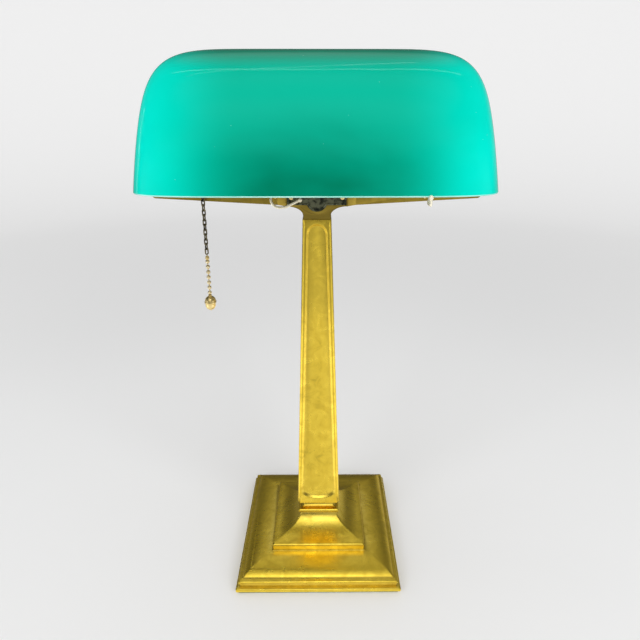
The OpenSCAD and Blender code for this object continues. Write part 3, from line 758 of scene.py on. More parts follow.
def finished(shape: Shape, name: str, body: Body, paints: Sequence[Paint],
             replaces: Sequence[str], rounding: Rounding | None = None) -> bpy.types.Object:
    """Scale a shape to metres, dress it and tie it to its body.

    Args:
        shape: the shape, in millimetres.
        name: the piece's name.
        body: the body that it rides on.
        paints: its finishes, by material index.
        replaces: the CAD nodes that it stands for.
        rounding: a bevel to keep on it.

    Returns:
        The piece.
    """
    bmesh.ops.scale(shape.bm, vec=(MM, MM, MM), verts=shape.bm.verts)
    piece = shape.raw(name)
    for paint in paints:
        piece.data.materials.append(paint.material())
    shade_smooth(piece.data)
    if rounding:
        rounding.add(piece)
    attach(piece, body.value)
    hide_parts(*replaces)
    LOG.info("%s: %d faces on %s", name, len(piece.data.polygons), body.value)
    return piece


def arc(cx: float, cz: float, rx: float, rz: float, start: float, end: float,
        steps: int) -> list[Point]:
    """Points of an elliptical arc.

    Args:
        cx: the centre's first coordinate.
        cz: the centre's second coordinate.
        rx: the first half axis.
        rz: the second half axis.
        start: the first angle in degrees.
        end: the last angle in degrees.
        steps: the number of chords.

    Returns:
        The points.
    """
    angles = [math.radians(start + (end - start) * i / steps) for i in range(steps + 1)]
    return [(cx + rx * math.cos(a), cz + rz * math.sin(a)) for a in angles]


def swept_wire(path: Sequence[Place], radius: float, sides: int = 14, cyclic: bool = False) -> Shape:
    """A round wire along a smooth path.

    Args:
        path: points of the path in millimetres.
        radius: the wire's radius.
        sides: facets round the wire.
        cyclic: join the end to the start.

    Returns:
        The shape.
    """
    curve = bpy.data.curves.new("wire", "CURVE")
    curve.dimensions = "3D"
    spline = curve.splines.new("POLY")
    spline.points.add(len(path) - 1)
    for point, place in zip(spline.points, path):
        point.co = (*place, 1.0)
    spline.use_cyclic_u = cyclic
    curve.bevel_depth, curve.bevel_resolution = radius, max(1, sides // 4 - 1)
    curve.use_fill_caps = not cyclic
    holder = bpy.data.objects.new("wire", curve)
    bpy.context.scene.collection.objects.link(holder)
    mesh = evaluated(holder)
    made = Shape()
    made.bm.from_mesh(mesh)
    bpy.data.objects.remove(holder)
    bpy.data.curves.remove(curve)
    bpy.data.meshes.remove(mesh)
    return made.tidy()


def rounded(path: Sequence[Place], cut: float) -> list[Place]:
    """Round a path's corners.

    Args:
        path: the corners.
        cut: how far from each corner its curve starts.

    Returns:
        The smooth path.
    """
    steps = 7
    most = 0.48  # the largest share of a straight that one corner may take
    points = [Vector(p) for p in path]
    made = [points[0]]
    for before, corner, after in zip(points, points[1:], points[2:]):
        reach_in = min(cut, (before - corner).length * most)
        reach_out = min(cut, (after - corner).length * most)
        start = corner + (before - corner).normalized() * reach_in
        end = corner + (after - corner).normalized() * reach_out
        for i in range(steps + 1):
            t = i / steps
            made.append((1 - t) ** 2 * start + 2 * t * (1 - t) * corner + t * t * end)
    made.append(points[-1])
    return [tuple(p) for p in made]


def cad_copy(node: str) -> Shape:
    """A merged copy of a CAD node's mesh, in millimetres, with its flat faces joined up."""
    shape = Shape()
    shape.bm.from_mesh(bpy.data.objects[node].data)
    bmesh.ops.scale(shape.bm, vec=(1 / MM,) * 3, verts=shape.bm.verts)
    bmesh.ops.remove_doubles(shape.bm, verts=shape.bm.verts, dist=0.002)
    bmesh.ops.dissolve_limit(shape.bm, angle_limit=math.radians(1.0), verts=shape.bm.verts,
                             edges=shape.bm.edges)
    return shape


def dress(**paints: Paint) -> None:
    """Give CAD nodes that keep their shape a better finish.

    Args:
        paints: the finish of each node, by the node's name.
    """
    for node, paint in paints.items():
        mesh = bpy.data.objects[node].data
        mesh.materials.clear()
        mesh.materials.append(paint.material())
        shade_smooth(mesh)
        LOG.info("%s: CAD shape, %s", node, paint.value.name)


def corners(node: str) -> tuple[Vector, Vector]:
    """The lowest and highest corners of a CAD node, in millimetres."""
    low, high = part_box(node)
    return low / MM, high / MM


# ---- The lamp ----


@dataclass
class Base:
    """The square moulded base with its felt, weight and cord bushing."""

    half: float = 65.0
    pad_top: float = 1.5
    plinth_top: float = 9.9
    shelf_top: float = 15.7
    step_half: float = 38.0
    step_top: float = 21.9
    neck_half: float = 15.8
    neck_z: float = 35.1
    top_z: float = 45.7
    wall: float = 3.4
    ovolo_in: float = 24.0
    ovolo_out: float = 5.0
    cove_in: float = 2.2
    pad_in: float = 1.2
    bead: float = 1.3
    neck_bead: float = 1.6
    waist: float = 3.4
    inlet_z: float = 6.4

    def outside(self) -> list[Point]:
        """The outer profile from the plinth's foot to the neck, as (half width, height)."""
        half, pad, plinth, step = self.half, self.pad_top, self.plinth_top, self.step_half
        ovolo_r, bead_in = self.ovolo_in - self.ovolo_out, 2.0
        collar = self.neck_z + 2 * self.neck_bead
        return [
            (half - 0.4, pad), (half, pad + 0.4), *arc(half - 0.7, pad + 2.3, 0.7, 0.7, 0, 80, 4),
            *arc(half - self.cove_in, pad + 4.6, 1.5, 1.4, -78, -110, 3),
            (half - 2.9, plinth - 2 * self.bead - 0.2),
            *arc(half - bead_in - self.bead, plinth - self.bead, self.bead, self.bead, -62, 90, 9),
            *arc(half - self.ovolo_in, plinth + 0.1, ovolo_r, self.shelf_top - plinth - 0.1, 2, 90, 22),
            (step + 0.5, self.shelf_top), (step, self.shelf_top + 0.4),
            *arc(step - 1.5, self.step_top - 1.5, 1.5, 1.5, 0, 90, 6),
            *arc(step - 0.2, self.neck_z, step - self.neck_half + 0.4, self.neck_z - self.step_top,
                 266, 181, 16),
            *arc(self.neck_half, self.neck_z + self.neck_bead, self.neck_bead, self.neck_bead,
                 -88, 88, 9),
            *arc(self.neck_half, collar + self.waist, self.waist, self.waist, 268, 180, 9),
            (self.neck_half - self.waist, self.top_z)]

    def inside(self) -> list[Point]:
        """The hollow's profile from the neck back down to the pad."""
        wall, stem_hole = self.wall, 5.2
        core, step, cove = self.neck_half - wall, self.step_half - wall, self.half - wall - self.cove_in
        return [
            (stem_hole, self.top_z), (stem_hole, self.neck_z - wall), (core - 2, self.neck_z - wall),
            (core + 1.5, self.step_top + 3.2), (step, self.step_top - wall),
            (step, self.shelf_top - wall),
            *arc(self.half - self.ovolo_in, self.plinth_top - wall,
                 self.ovolo_in - self.ovolo_out - wall, self.shelf_top - self.plinth_top, 90, 0, 12),
            (cove, self.plinth_top - wall), (cove, self.pad_top)]

    def shell(self) -> bpy.types.Object:
        """The hollow brass casting."""
        outer = self.outside()
        shape = Shape().squared(outer + self.inside()).tidy()
        corners_out = {(round(w, 3), round(z, 3)) for w, z in outer}

        def on_mitre(edge: bmesh.types.BMEdge) -> bool:
            """Whether an edge runs along one outer corner of the square."""
            a, b = (v.co for v in edge.verts)
            return (a.x * b.x > 0 and a.y * b.y > 0 and all(
                abs(abs(c.x) - abs(c.y)) < 0.01
                and (round(abs(c.x), 3), round(c.z, 3)) in corners_out for c in (a, b)))

        shape.soften([e for e in shape.bm.edges if on_mitre(e)], 0.9, 3)
        hole, seat, seat_at, through = 3.6, 4.5, 13.4, 40
        tool = Shape().turned(
            [(0, 0), (hole, 0), (hole, seat_at), (seat, seat_at), (seat, through), (0, through)],
            (0, 48.9, self.inlet_z), Axis.BACK, 40)
        shape.cut(tool.tidy()).tidy()
        return finished(shape, "base_casting", Body.LAMP, [Paint.BASE_BRASS], ["base_shell"])

    def pad(self) -> bpy.types.Object:
        """The felt under the base, with its cut edge slightly fuzzy and rounded."""
        side = self.half - self.pad_in
        shape = Shape().block((-side, -side, 0.0), (side, side, self.pad_top))
        shape.soften([e for e in shape.bm.edges if abs(e.verts[0].co.z - e.verts[1].co.z) > 1], 1.6, 4)
        top = [e for e in shape.bm.edges if all(v.co.z > 1 for v in e.verts)]
        shape.soften([e for e in top if e.calc_face_angle(0) > 1], 0.35, 2)
        return finished(shape.tidy(), "felt_pad", Body.LAMP, [Paint.FELT], ["base_pad"])

    def build(self) -> None:
        """Make the base's pieces."""
        self.shell()
        self.pad()
        flange = [*arc(3.4, 13.0, 0.8, 0.75, 0, 80, 4), *arc(3.0, 13.0, 0.7, 0.75, 90, 180, 4)]
        bushing = Shape().turned([(2.3, 0), (3.45, 0), (3.45, 12.1), (4.2, 12.3), *flange],
                                 (0, 50.2, self.inlet_z), Axis.BACK, 40, closed=True)
        finished(bushing.tidy(), "cord_inlet_bushing", Body.LAMP, [Paint.RUBBER],
                 ["cord_bushing"])
        dress(base_weight=Paint.IRON, clamp_nut=Paint.STEEL, clamp_washer=Paint.STEEL,
              stem_tube=Paint.FITTING)


@dataclass
class Column:
    """The tapered square column with a sunk round-ended panel on each face."""

    low: float = 45.7
    high: float = 287.5
    foot_half: float = 17.5
    top_half: float = 10.4
    rib: float = 2.9
    wall_run: float = 1.4
    depth: float = 1.6
    foot_margin: float = 4.6
    head_margin: float = 3.2
    round_steps: int = 12

    def half(self, z: float) -> float:
        """The column's half width at a height."""
        taper = self.top_half - self.foot_half
        return self.foot_half + taper * (z - self.low) / (self.high - self.low)

    def panel(self, margin: float, end_gap: float) -> list[Point]:
        """The panel's outline, counter-clockwise from its lower right, as (x, z).

        Args:
            margin: the distance from the column's edge.
            end_gap: how much further than the margins the round ends stand from the column's ends.

        Returns:
            The outline.
        """
        start = self.low + self.foot_margin + end_gap
        stop = self.high - self.head_margin - end_gap
        low_r, high_r = self.half(start) - margin, self.half(stop) - margin
        low_rise = low_r * 0.5
        bottom = arc(0, start + low_rise, low_r, low_rise, 180, 360, self.round_steps)
        top = arc(0, stop - high_r, high_r, high_r, 0, 180, self.round_steps)
        return bottom + top

    def frame(self, inner: Sequence[Point]) -> list[Point]:
        """Points on the column face's edge, one beside each of the panel outline's points."""
        middle = self.round_steps // 2
        made: list[Point] = []
        for i, (x, z) in enumerate(inner):
            bottom = i <= self.round_steps
            k = i if bottom else i - self.round_steps - 1
            end = self.low if bottom else self.high
            reach = self.half(end)
            if k in (0, self.round_steps):
                made.append((math.copysign(self.half(z), x), z))
            else:
                across = min(1.0, abs(k - middle) / (middle - 1.5))
                side = math.copysign(reach * across, x) if k != middle else 0.0
                made.append((side, end))
        return made

    def face(self, shape: Shape) -> list[bmesh.types.BMFace]:
        """Build the front face with its panel.

        Args:
            shape: the shape to add to.

        Returns:
            Its faces.
        """
        def lift(outline: Sequence[Point], sunk: float) -> list[Place]:
            """Put an outline on the column's front plane, sunk by a depth."""
            return [(x, -(self.half(z) - sunk), z) for x, z in outline]

        brim = self.panel(self.rib, 0.0)
        floor = self.panel(self.rib + self.wall_run, self.wall_run)
        loops = [shape.strip(lift(self.frame(brim), 0.0), True), shape.strip(lift(brim, 0.0), True),
                 shape.strip(lift(floor, self.depth), True)]
        edges = [[e for e in loop if isinstance(e, bmesh.types.BMEdge)] for loop in loops]
        faces: list[bmesh.types.BMFace] = []
        for a, b in zip(edges, edges[1:]):
            faces += bmesh.ops.bridge_loops(shape.bm, edges=a + b)["faces"]
        faces += bmesh.ops.contextual_create(shape.bm, geom=loops[2])["faces"]
        return faces

    def build(self) -> None:
        """Make the column."""
        shape = Shape()
        self.face(shape)
        everything = shape.bm.verts[:] + shape.bm.edges[:] + shape.bm.faces[:]
        bmesh.ops.spin(shape.bm, geom=everything, cent=(0, 0, 0), axis=(0, 0, 1),
                       angle=math.tau * 3 / 4, steps=3, use_duplicate=True)
        shape.tidy()
        bmesh.ops.remove_doubles(shape.bm, verts=shape.bm.verts, dist=0.01)
        bmesh.ops.holes_fill(shape.bm, edges=shape.bm.edges, sides=0)
        bmesh.ops.recalc_face_normals(shape.bm, faces=shape.bm.faces)
        near = 0.05
        uprights = [e for e in shape.bm.edges if abs(e.verts[0].co.z - e.verts[1].co.z) > 0.5 and all(
            abs(abs(v.co.x) - abs(v.co.y)) < near and abs(abs(v.co.x) - self.half(v.co.z)) < near
            for v in e.verts)]
        shape.soften(uprights, 2.4, 6)
        shape.soften([e for e in shape.sharp(24) if all(
            self.low + 1 < v.co.z < self.high - 1 for v in e.verts)], 0.3, 2)
        finished(shape.tidy(), "square_column", Body.LAMP, [Paint.BRASS], ["column"])


@dataclass
class Arm:
    """The T-shaped arm with its blank plate, rest pads, nut and screw eyes."""

    plate_top: float = 308.7
    plate_half: float = 21.0
    plate_h: float = 10.6
    plate_t: float = 1.2
    tab_r: float = 7.6
    front: float = -11.1

    def outline(self, inset: float) -> list[Point]:
        """The plate's outline with its half-round tab.

        Args:
            inset: how far inside the plate's edge.

        Returns:
            The outline, counter-clockwise seen from the front.
        """
        low, high = self.plate_top - self.plate_h + inset, self.plate_top - inset
        centre = self.plate_top - self.plate_h + self.tab_r - 4.6
        radius = self.tab_r - inset
        meet = math.degrees(math.asin((centre - low) / radius))
        tab = arc(0, centre, radius, radius, 180 + meet, 360 - meet, 18)
        half = self.plate_half - inset
        return [(-half, low), *tab, (half, low), (half, high), (-half, high)]

    def plate(self) -> bpy.types.Object:
        """The blank plate: a bevelled slab with a raised line just inside its edge."""
        shape = Shape().slab(self.outline(0.0), self.front, self.plate_t - 0.25).tidy()
        for inset, rise in ((0.9, 0.0), (0.25, 0.22), (0.35, 0.0), (0.25, -0.22)):
            fronts = [f for f in shape.bm.faces if f.normal.y < -0.9 and len(f.verts) > 8]
            bmesh.ops.inset_region(shape.bm, faces=fronts, thickness=inset, depth=rise)
        return finished(shape.tidy(), "blank_plate", Body.LAMP, [Paint.PLATE], ["name_plate"],
                        Rounding(0.12, 2))

    def pins(self) -> bpy.types.Object:
        """The two domed pins that hold the plate."""
        shape = Shape()
        profile = [(0, 0), (0.9, 0), (0.9, 6.0), (1.55, 6.02), (1.5, 6.3), (1.2, 6.65), (0.65, 6.86),
                   (0, 6.92)]
        for x in (-18.0, 18.0):
            root = (x, self.front - self.plate_t + 6.1, self.plate_top - self.plate_h / 2)
            shape.turned(profile, root, Axis.UP, 24)
            fresh = [v for v in shape.bm.verts if not v.tag]
            bmesh.ops.rotate(shape.bm, cent=root, matrix=Matrix.Rotation(math.radians(90), 3, "X"),
                             verts=fresh)
            for v in shape.bm.verts:
                v.tag = True
        return finished(shape.tidy(), "plate_pin_pair", Body.LAMP, [Paint.ANTIQUE],
                        ["plate_pins"])

    def eyes(self) -> bpy.types.Object:
        """The two screw eyes: a ring of wire that runs out into a shank."""
        shape = Shape()
        ring = arc(EYE_Y, EYE_Z, 2.5, 2.5, 14, 346, 26)
        for x in EYE_XS:
            path = [(x, -4.0, EYE_Z), (x, EYE_Y + 3.6, EYE_Z)] + [(x, y, z) for y, z in ring]
            shape.join(swept_wire(path, 0.8, 16))
        return finished(shape.tidy(), "screw_eye_pair", Body.LAMP, [Paint.ANTIQUE],
                        ["hook_eyes"])

    def build(self) -> None:
        """Make the arm's pieces."""
        shape = cad_copy("arm")
        finished(shape, "cross_arm", Body.LAMP, [Paint.SHADED_ARM_BRASS], ["arm"],
                 Rounding(0.55, 3))
        self.plate()
        self.pins()
        self.eyes()
        dress(arm_nut=Paint.ANTIQUE, rest_pads=Paint.CORK)


@dataclass
class Hooks:
    """The two spring wire hooks with balled ends."""

    radius: float = 0.9
    ball: float = 1.5
    rim_front: float = 63.6

    def hook(self, name: str, body: Body, path: Sequence[Place], cut: float,
             node: str) -> bpy.types.Object:
        """One hook.

        Args:
            name: the piece's name.
            body: the body that it rides on.
            path: the corners of its wire.
            cut: how far from each corner its bend starts.
            node: the CAD node that it stands for.

        Returns:
            The piece.
        """
        shape = swept_wire(rounded(path, cut), self.radius, 16)
        shape.ball(path[0], self.ball - 0.2).ball(path[-1], self.ball)
        return finished(shape, name, body, [Paint.WIRE], [node])

    def build(self) -> None:
        """Make both hooks."""
        x, y, z = EYE_XS[0], EYE_Y, EYE_Z
        left = [(x + 3, y, z), (x - 2, y, z), (x - 3.4, y - 4, z - 3.4), (x - 1.6, y - 5, z - 7.2),
                (x + 2, y - 5, z - 9), (x + 7, y - 5, z - 8.6), (x + 17.4, y - 5, z - 3.6)]
        self.hook("left_wire_hook", Body.LEFT_HOOK, left, 1.8, "left_hook")
        x, front, rim = EYE_XS[1], -self.rim_front, RIM_Z
        right = [(x + 3, y, z), (x - 3, y, z), (x - 3, y - 5, z + 2), (x - 5, front + 12, rim + 1.2),
                 (x - 6.6, front + 7, rim - 4.6), (x - 7, front - 2.2, rim - 4.4),
                 (x - 7, front - 2.2, rim + 0.4)]
        self.hook("right_wire_hook", Body.RIGHT_HOOK, right, 1.4, "right_hook")


@dataclass
class Shade:
    """The long cased-glass shade: green outside, white inside, open below."""

    half_l: float = 118.6
    half_d: float = 63.6
    height: float = 88.7
    glass: float = 3.5
    lean: float = 0.15
    end_power: float = 7.0
    section_power: float = 2.1
    corner_power: float = 6.0
    around: int = 240
    rows: int = 112

    def swell(self, v: Vector) -> Vector:
        """Move a point of the unit sphere's upper half out to the shade's surface.

        Args:
            v: the point.

        Returns:
            Its new place, above the rim's plane.
        """
        lift = min(max(v.z, 0.0), 1.0)
        k = min(lift, 0.99999)
        z = self.height * lift
        reach = (self.half_l - self.lean * z) * (1 - k ** self.end_power) ** (1 / self.end_power)
        depth = self.half_d * (1 - k ** self.section_power) ** (1 / self.section_power)
        flat = math.hypot(v.x, v.y)
        c, s = (v.x / flat, v.y / flat) if flat > 1e-6 else (0.0, 0.0)
        power = 2 / self.corner_power
        return Vector((math.copysign(reach * abs(c) ** power, c),
                       math.copysign(depth * abs(s) ** power, s), z))

    def build(self) -> None:
        """Make the shade."""
        shape = Shape()
        bmesh.ops.create_uvsphere(shape.bm, u_segments=self.around, v_segments=self.rows, radius=1.0)
        half_step = Matrix.Rotation(math.pi / self.around, 3, "Z")
        bmesh.ops.rotate(shape.bm, cent=(0, 0, 0), matrix=half_step, verts=shape.bm.verts)
        below = [v for v in shape.bm.verts if v.co.z < -1e-4]
        bmesh.ops.delete(shape.bm, geom=below, context="VERTS")
        for v in shape.bm.verts:
            v.co = self.swell(v.co) + Vector((0, 0, RIM_Z))
        bmesh.ops.recalc_face_normals(shape.bm, faces=shape.bm.faces)
        if sum(f.normal.z for f in shape.bm.faces) < 0:
            bmesh.ops.reverse_faces(shape.bm, faces=shape.bm.faces)
        piece = finished(shape, "glass_shade", Body.SHADE,
                         [Paint.GREEN, Paint.OPAL, Paint.CUT_EDGE], ["shade"])
        wall = piece.modifiers.new("wall", "SOLIDIFY")
        wall.thickness, wall.offset, wall.use_even_offset = self.glass * MM, -1.0, True
        wall.material_offset, wall.material_offset_rim = 1, 2
        # The rounded rim takes the pale rim finish: the ground edge's colour and a painted highlight.
        rim = piece.modifiers.new("ground rim", "BEVEL")
        rim.width, rim.segments, rim.profile = 0.9 * MM, 4, 0.5
        rim.limit_method, rim.angle_limit = "ANGLE", math.radians(60)
        rim.material = 2


@dataclass
class Socket:
    """The horizontal pull-chain socket on its bracket."""

    cap_x: float = -101.5
    shell_x: float = -91.0
    mouth_x: float = -43.0
    shell_r: float = 16.8
    mouth_low: float = 325.8

    def along(self, profile: Sequence[Point]) -> Shape:
        """Turn a closed profile of (radius, x) points about the socket's axis."""
        return Shape().turned(profile, (0, 0, LAMP_Z), Axis.ALONG_X, 72, closed=True)

    def shell(self) -> bpy.types.Object:
        """The drawn shell with two rolled rings and a curled mouth."""
        r, end = self.shell_r, self.mouth_x
        ring = [p for x in (self.shell_x + 24, end - 11)
                for p in [(r, x - 1.6), *[(r + 0.7 * math.sin(math.radians(a)), x - 1.4 + 2.8 * a / 180)
                                          for a in range(20, 180, 20)], (r, x + 1.6)]]
        outer = [(r, self.shell_x), *ring, (r, end - 2), *arc(r - 1.3, end - 1.3, 1.3, 1.3, 0, 90, 5)]
        inner = [(r - 2.4, end), (r - 2.4, end - 0.6), (r - 0.7, end - 2.2), (r - 0.7, self.shell_x)]
        shape = self.along(outer + inner).tidy()
        hole = 4.3
        tool = Shape().turned([(0, 0), (hole, 0), (hole, 20), (0, 20)], (CHAIN_X, CHAIN_Y, 320),
                              Axis.UP, 36)
        shape.cut(tool.tidy()).tidy()
        return finished(shape, "socket_sleeve", Body.LAMP, [Paint.FITTING], ["socket_shell"])

    def cap(self) -> bpy.types.Object:
        """The domed cap with a rolled skirt."""
        hub, r, start, lip, bore = 7.5, self.shell_r + 0.95, self.cap_x, self.shell_x, 4.95

        def dome(near: float, reach: float, x: float, angles: range) -> list[Point]:
            """A quarter of a dome's section, from a radius near the hub outwards."""
            turns = [math.radians(a) for a in angles]
            return [(near + reach * math.sin(t), x + 6 * (1 - math.cos(t))) for t in turns]

        skirt = [(r, lip + 2.6), (r + 0.45, lip + 2.9), (r + 0.55, lip + 3.5), (r + 0.3, lip + 4),
                 (r - 0.8, lip + 4)]
        profile = [(bore, start), (hub - 0.5, start), (hub, start + 0.5),
                   *dome(hub, r - hub, start + 3.5, range(0, 91, 9)), *skirt,
                   *dome(hub - 0.3, r - 0.8 - hub, start + 4.4, range(90, -1, -9)), (bore, start + 4.4)]
        return finished(self.along(profile).tidy(), "socket_dome_cap", Body.LAMP,
                        [Paint.FITTING], ["socket_cap"])

    def screw_shell(self) -> bpy.types.Object:
        """The rolled screw shell that holds the bulb."""
        r, start, end, pitch = 13.3, -66.9, self.mouth_x - 1.5, 3.6
        turns = int((end - 2 - start) / pitch * 8)
        wave = [(r + 0.1 + 0.25 * math.sin(math.tau * i / 8), start + 1.5 + i * pitch / 8)
                for i in range(turns)]
        profile = [(4.0, start), (r, start), *wave, (r, end), (r - 0.4, end),
                   *[(a - 0.4, x) for a, x in reversed(wave)], (r - 0.5, start + 0.4),
                   (4.0, start + 0.4)]
        return finished(self.along(profile).tidy(), "rolled_screw_shell", Body.LAMP,
                        [Paint.FITTING], ["screw_shell"])

    def bell(self) -> bpy.types.Object:
        """The bell mouth that the chain runs through."""
        bore, out, height = 2.5, 4.1, 9.0
        profile = [(bore, height), (bore, 2.4), *arc(bore + 1.6, 2.4, 1.6, 2.2, 184, 268, 6),
                   (bore + 2.3, 0.1), (bore + 2.5, 0.5), (bore + 2.2, 1.0), (out, 2.6), (out, height)]
        shape = Shape().turned(profile, (CHAIN_X, CHAIN_Y, self.mouth_low), Axis.UP, 48, closed=True)
        return finished(shape.tidy(), "chain_bell_mouth", Body.LAMP, [Paint.FITTING],
                        ["bell_mouth"])

    def build(self) -> None:
        """Make the socket's pieces."""
        self.shell()
        self.cap()
        self.screw_shell()
        self.bell()
        shape = cad_copy("socket_bracket")
        finished(shape, "angle_bracket", Body.LAMP, [Paint.ANTIQUE],
                 ["socket_bracket"], Rounding(0.35, 2))
        dress(bracket_screws=Paint.STEEL, nipple=Paint.FITTING, nipple_nut=Paint.FITTING,
              socket_liner=Paint.FIBRE, insulator=Paint.PORCELAIN, centre_contact=Paint.BEAD,
              terminal_screws=Paint.BEAD, lever_pin=Paint.STEEL, switch_lever=Paint.STEEL,
              switch_spring=Paint.STEEL)


@dataclass
class PullChain:
    """The chain: a lead through the bell mouth, dark links, beads and a turned acorn."""

    first_link_z: float = 320.79
    link_pitch: float = 3.52
    links: int = 17
    link_r: float = 1.1
    wire_r: float = 0.5
    coupler_z: float = 261.46
    bead_top: float = 256.56
    bead_pitch: float = 4.0
    beads: int = 7
    bead_r: float = 1.5
    acorn_low: float = 218.46
    acorn_h: float = 12.4
    acorn_r: float = 4.4

    def upper(self) -> bpy.types.Object:
        """The linked part: oval wire links, each a quarter turn from its neighbours."""
        shape = Shape()
        straight = (self.link_pitch + 2 * self.wire_r - 2 * self.link_r + 0.1) / 2
        slant = math.sqrt(0.5)
        for i in range(self.links):
            z = self.first_link_z - i * self.link_pitch
            side = slant if i % 2 == 0 else -slant
            path: list[Place] = []
            for k in range(20):
                a = math.tau * (k + 0.5) / 20
                u = self.link_r * math.cos(a)
                w = self.link_r * math.sin(a) + math.copysign(straight, math.sin(a))
                path.append((CHAIN_X + slant * u, CHAIN_Y + side * u, z + w))
            shape.join(swept_wire(path, self.wire_r, 12, cyclic=True))
        return finished(shape, "dark_links", Body.UPPER_CHAIN, [Paint.BLACKENED],
                        ["upper_chain"])

    def lower(self) -> None:
        """The coupler, the beads on their pins, and the acorn."""
        bell_h = 3.2
        bell = [(0, 0), (1.1, 0), (1.35, 0.3), (1.4, 0.7), (1.4, 1.6), (1.2, 2.2), (0.75, 2.5),
                (0.6, 2.8), (0.55, 3.1), (0.4, bell_h), (0, bell_h)]
        coupler = Shape().turned(bell, (CHAIN_X, CHAIN_Y, self.coupler_z - bell_h), Axis.UP, 32)
        finished(coupler.tidy(), "bell_coupler", Body.LOWER_CHAIN, [Paint.ANTIQUE],
                 ["chain_coupler"])
        shape = Shape()
        r = self.bead_r
        bead = [(0, -r), *arc(0, 0, r, r, -78, -6, 6), (r * 0.975, -0.09), (r * 0.975, 0.09),
                *arc(0, 0, r, r, 6, 78, 6), (0, r)]
        for i in range(self.beads):
            shape.turned(bead, (CHAIN_X, CHAIN_Y, self.bead_top - i * self.bead_pitch), Axis.UP, 28)
        pin_l, pin_r = (self.beads - 1) * self.bead_pitch, 0.42
        shape.turned([(0, 0), (pin_r, 0), (pin_r, pin_l), (0, pin_l)],
                     (CHAIN_X, CHAIN_Y, self.bead_top - pin_l), Axis.UP, 16)
        finished(shape.tidy(), "bead_string", Body.LOWER_CHAIN, [Paint.BEAD], ["bead_chain"])
        self.acorn()

    def acorn(self) -> bpy.types.Object:
        """The turned acorn: a stem, a ringed cup and a pointed nut."""
        h, r = self.acorn_h, self.acorn_r
        nut = [(0, 0), (0.45, 0.04), (0.6, 0.25), (0.75, 0.55), (r * 0.3, h * 0.062),
               (r * 0.48, h * 0.09),
               (r * 0.62, h * 0.13), (r * 0.73, h * 0.18), (r * 0.81, h * 0.24), (r * 0.86, h * 0.32),
               (r * 0.89, h * 0.4), (r * 0.9, h * 0.47)]
        cup = [(r * 0.93, h * 0.485), (r * 0.98, h * 0.495), (r, h * 0.515), (r, h * 0.565),
               (r * 0.98, h * 0.585), (r * 0.94, h * 0.595),
               *arc(0, h * 0.6, r * 0.93, h * 0.33, 6, 68, 10)]
        stem = [(1.2, h * 0.935), (1.3, h * 0.95), (1.3, h * 0.985), (1.1, h), (0, h)]
        shape = Shape().turned(nut + cup + stem, (CHAIN_X, CHAIN_Y, self.acorn_low), Axis.UP, 56)
        return finished(shape.tidy(), "turned_acorn", Body.LOWER_CHAIN,
                        [Paint.ANTIQUE], ["acorn_pull"])

    def build(self) -> None:
        """Make the chain's pieces."""
        dress(chain_lead=Paint.BLACKENED)
        self.upper()
        self.lower()


class Bulb:
    """The screw-in bulb."""

    def thread(self) -> bpy.types.Object:
        """The screw base with its rolled thread."""
        low, high = corners("bulb_base")
        r, pitch = 12.95, 3.6
        start, end = low.x, high.x
        count = int((end - 2.4 - start - 1.8) / pitch * 8)
        wave = [(r + 0.22 * math.sin(math.tau * i / 8), start + 1.8 + i * pitch / 8)
                for i in range(count)]
        profile = [(0, start), (10.6, start), (11.6, start + 0.5), (r - 0.2, start + 1.5), *wave,
                   (r, end - 0.6), (r - 0.3, end), (0, end)]
        shape = Shape().turned(profile, (0, 0, LAMP_Z), Axis.ALONG_X, 64)
        return finished(shape.tidy(), "bulb_screw_base", Body.BULB, [Paint.FITTING],
                        ["bulb_base"])

    def build(self) -> None:
        """Make the bulb's pieces."""
        self.thread()
        dress(bulb_glass=Paint.BULB_GLASS, bulb_insulator=Paint.RUBBER, bulb_contact=Paint.STEEL,
              bulb_mount=Paint.BULB_GLASS, bulb_filament=Paint.TUNGSTEN)


# ---- The studio ----


@dataclass(frozen=True)
class Panel:
    """One broad soft panel of the studio, as reflections see it."""

    towards: Place
    core: float
    edge: float
    strength: float

    def glow(self, tree: Tree, where: bpy.types.NodeSocket) -> bpy.types.NodeSocket:
        """The panel's light in each direction.

        Args:
            tree: the world's nodes.
            where: the direction socket.

        Returns:
            The strength socket.
        """
        dot = tree.node("ShaderNodeVectorMath", operation="DOT_PRODUCT")
        tree.feed(dot.inputs[0], where)
        tree.feed(dot.inputs[1], Vector(self.towards).normalized())
        return tree.span(dot.outputs["Value"], math.cos(math.radians(self.edge)),
                         math.cos(math.radians(self.core)), 0.0, self.strength)


@dataclass(frozen=True)
class SoftBox:
    """An area light that the camera doesn't see, and that reflections see only if it is mirrored."""

    name: str
    place: Place
    aim: Place
    size: Point
    power: float
    mirrored: bool = False

    def add(self) -> None:
        """Put the light in the scene."""
        data = bpy.data.lights.new(self.name, "AREA")
        data.shape, data.energy = "RECTANGLE", self.power
        data.size, data.size_y = self.size
        made = bpy.data.objects.new(self.name, data)
        made.location = self.place
        towards = Vector(self.aim) - Vector(self.place)
        made.rotation_euler = towards.to_track_quat("-Z", "Y").to_euler()
        made.visible_camera = False
        made.visible_glossy = self.mirrored
        bpy.context.scene.collection.objects.link(made)


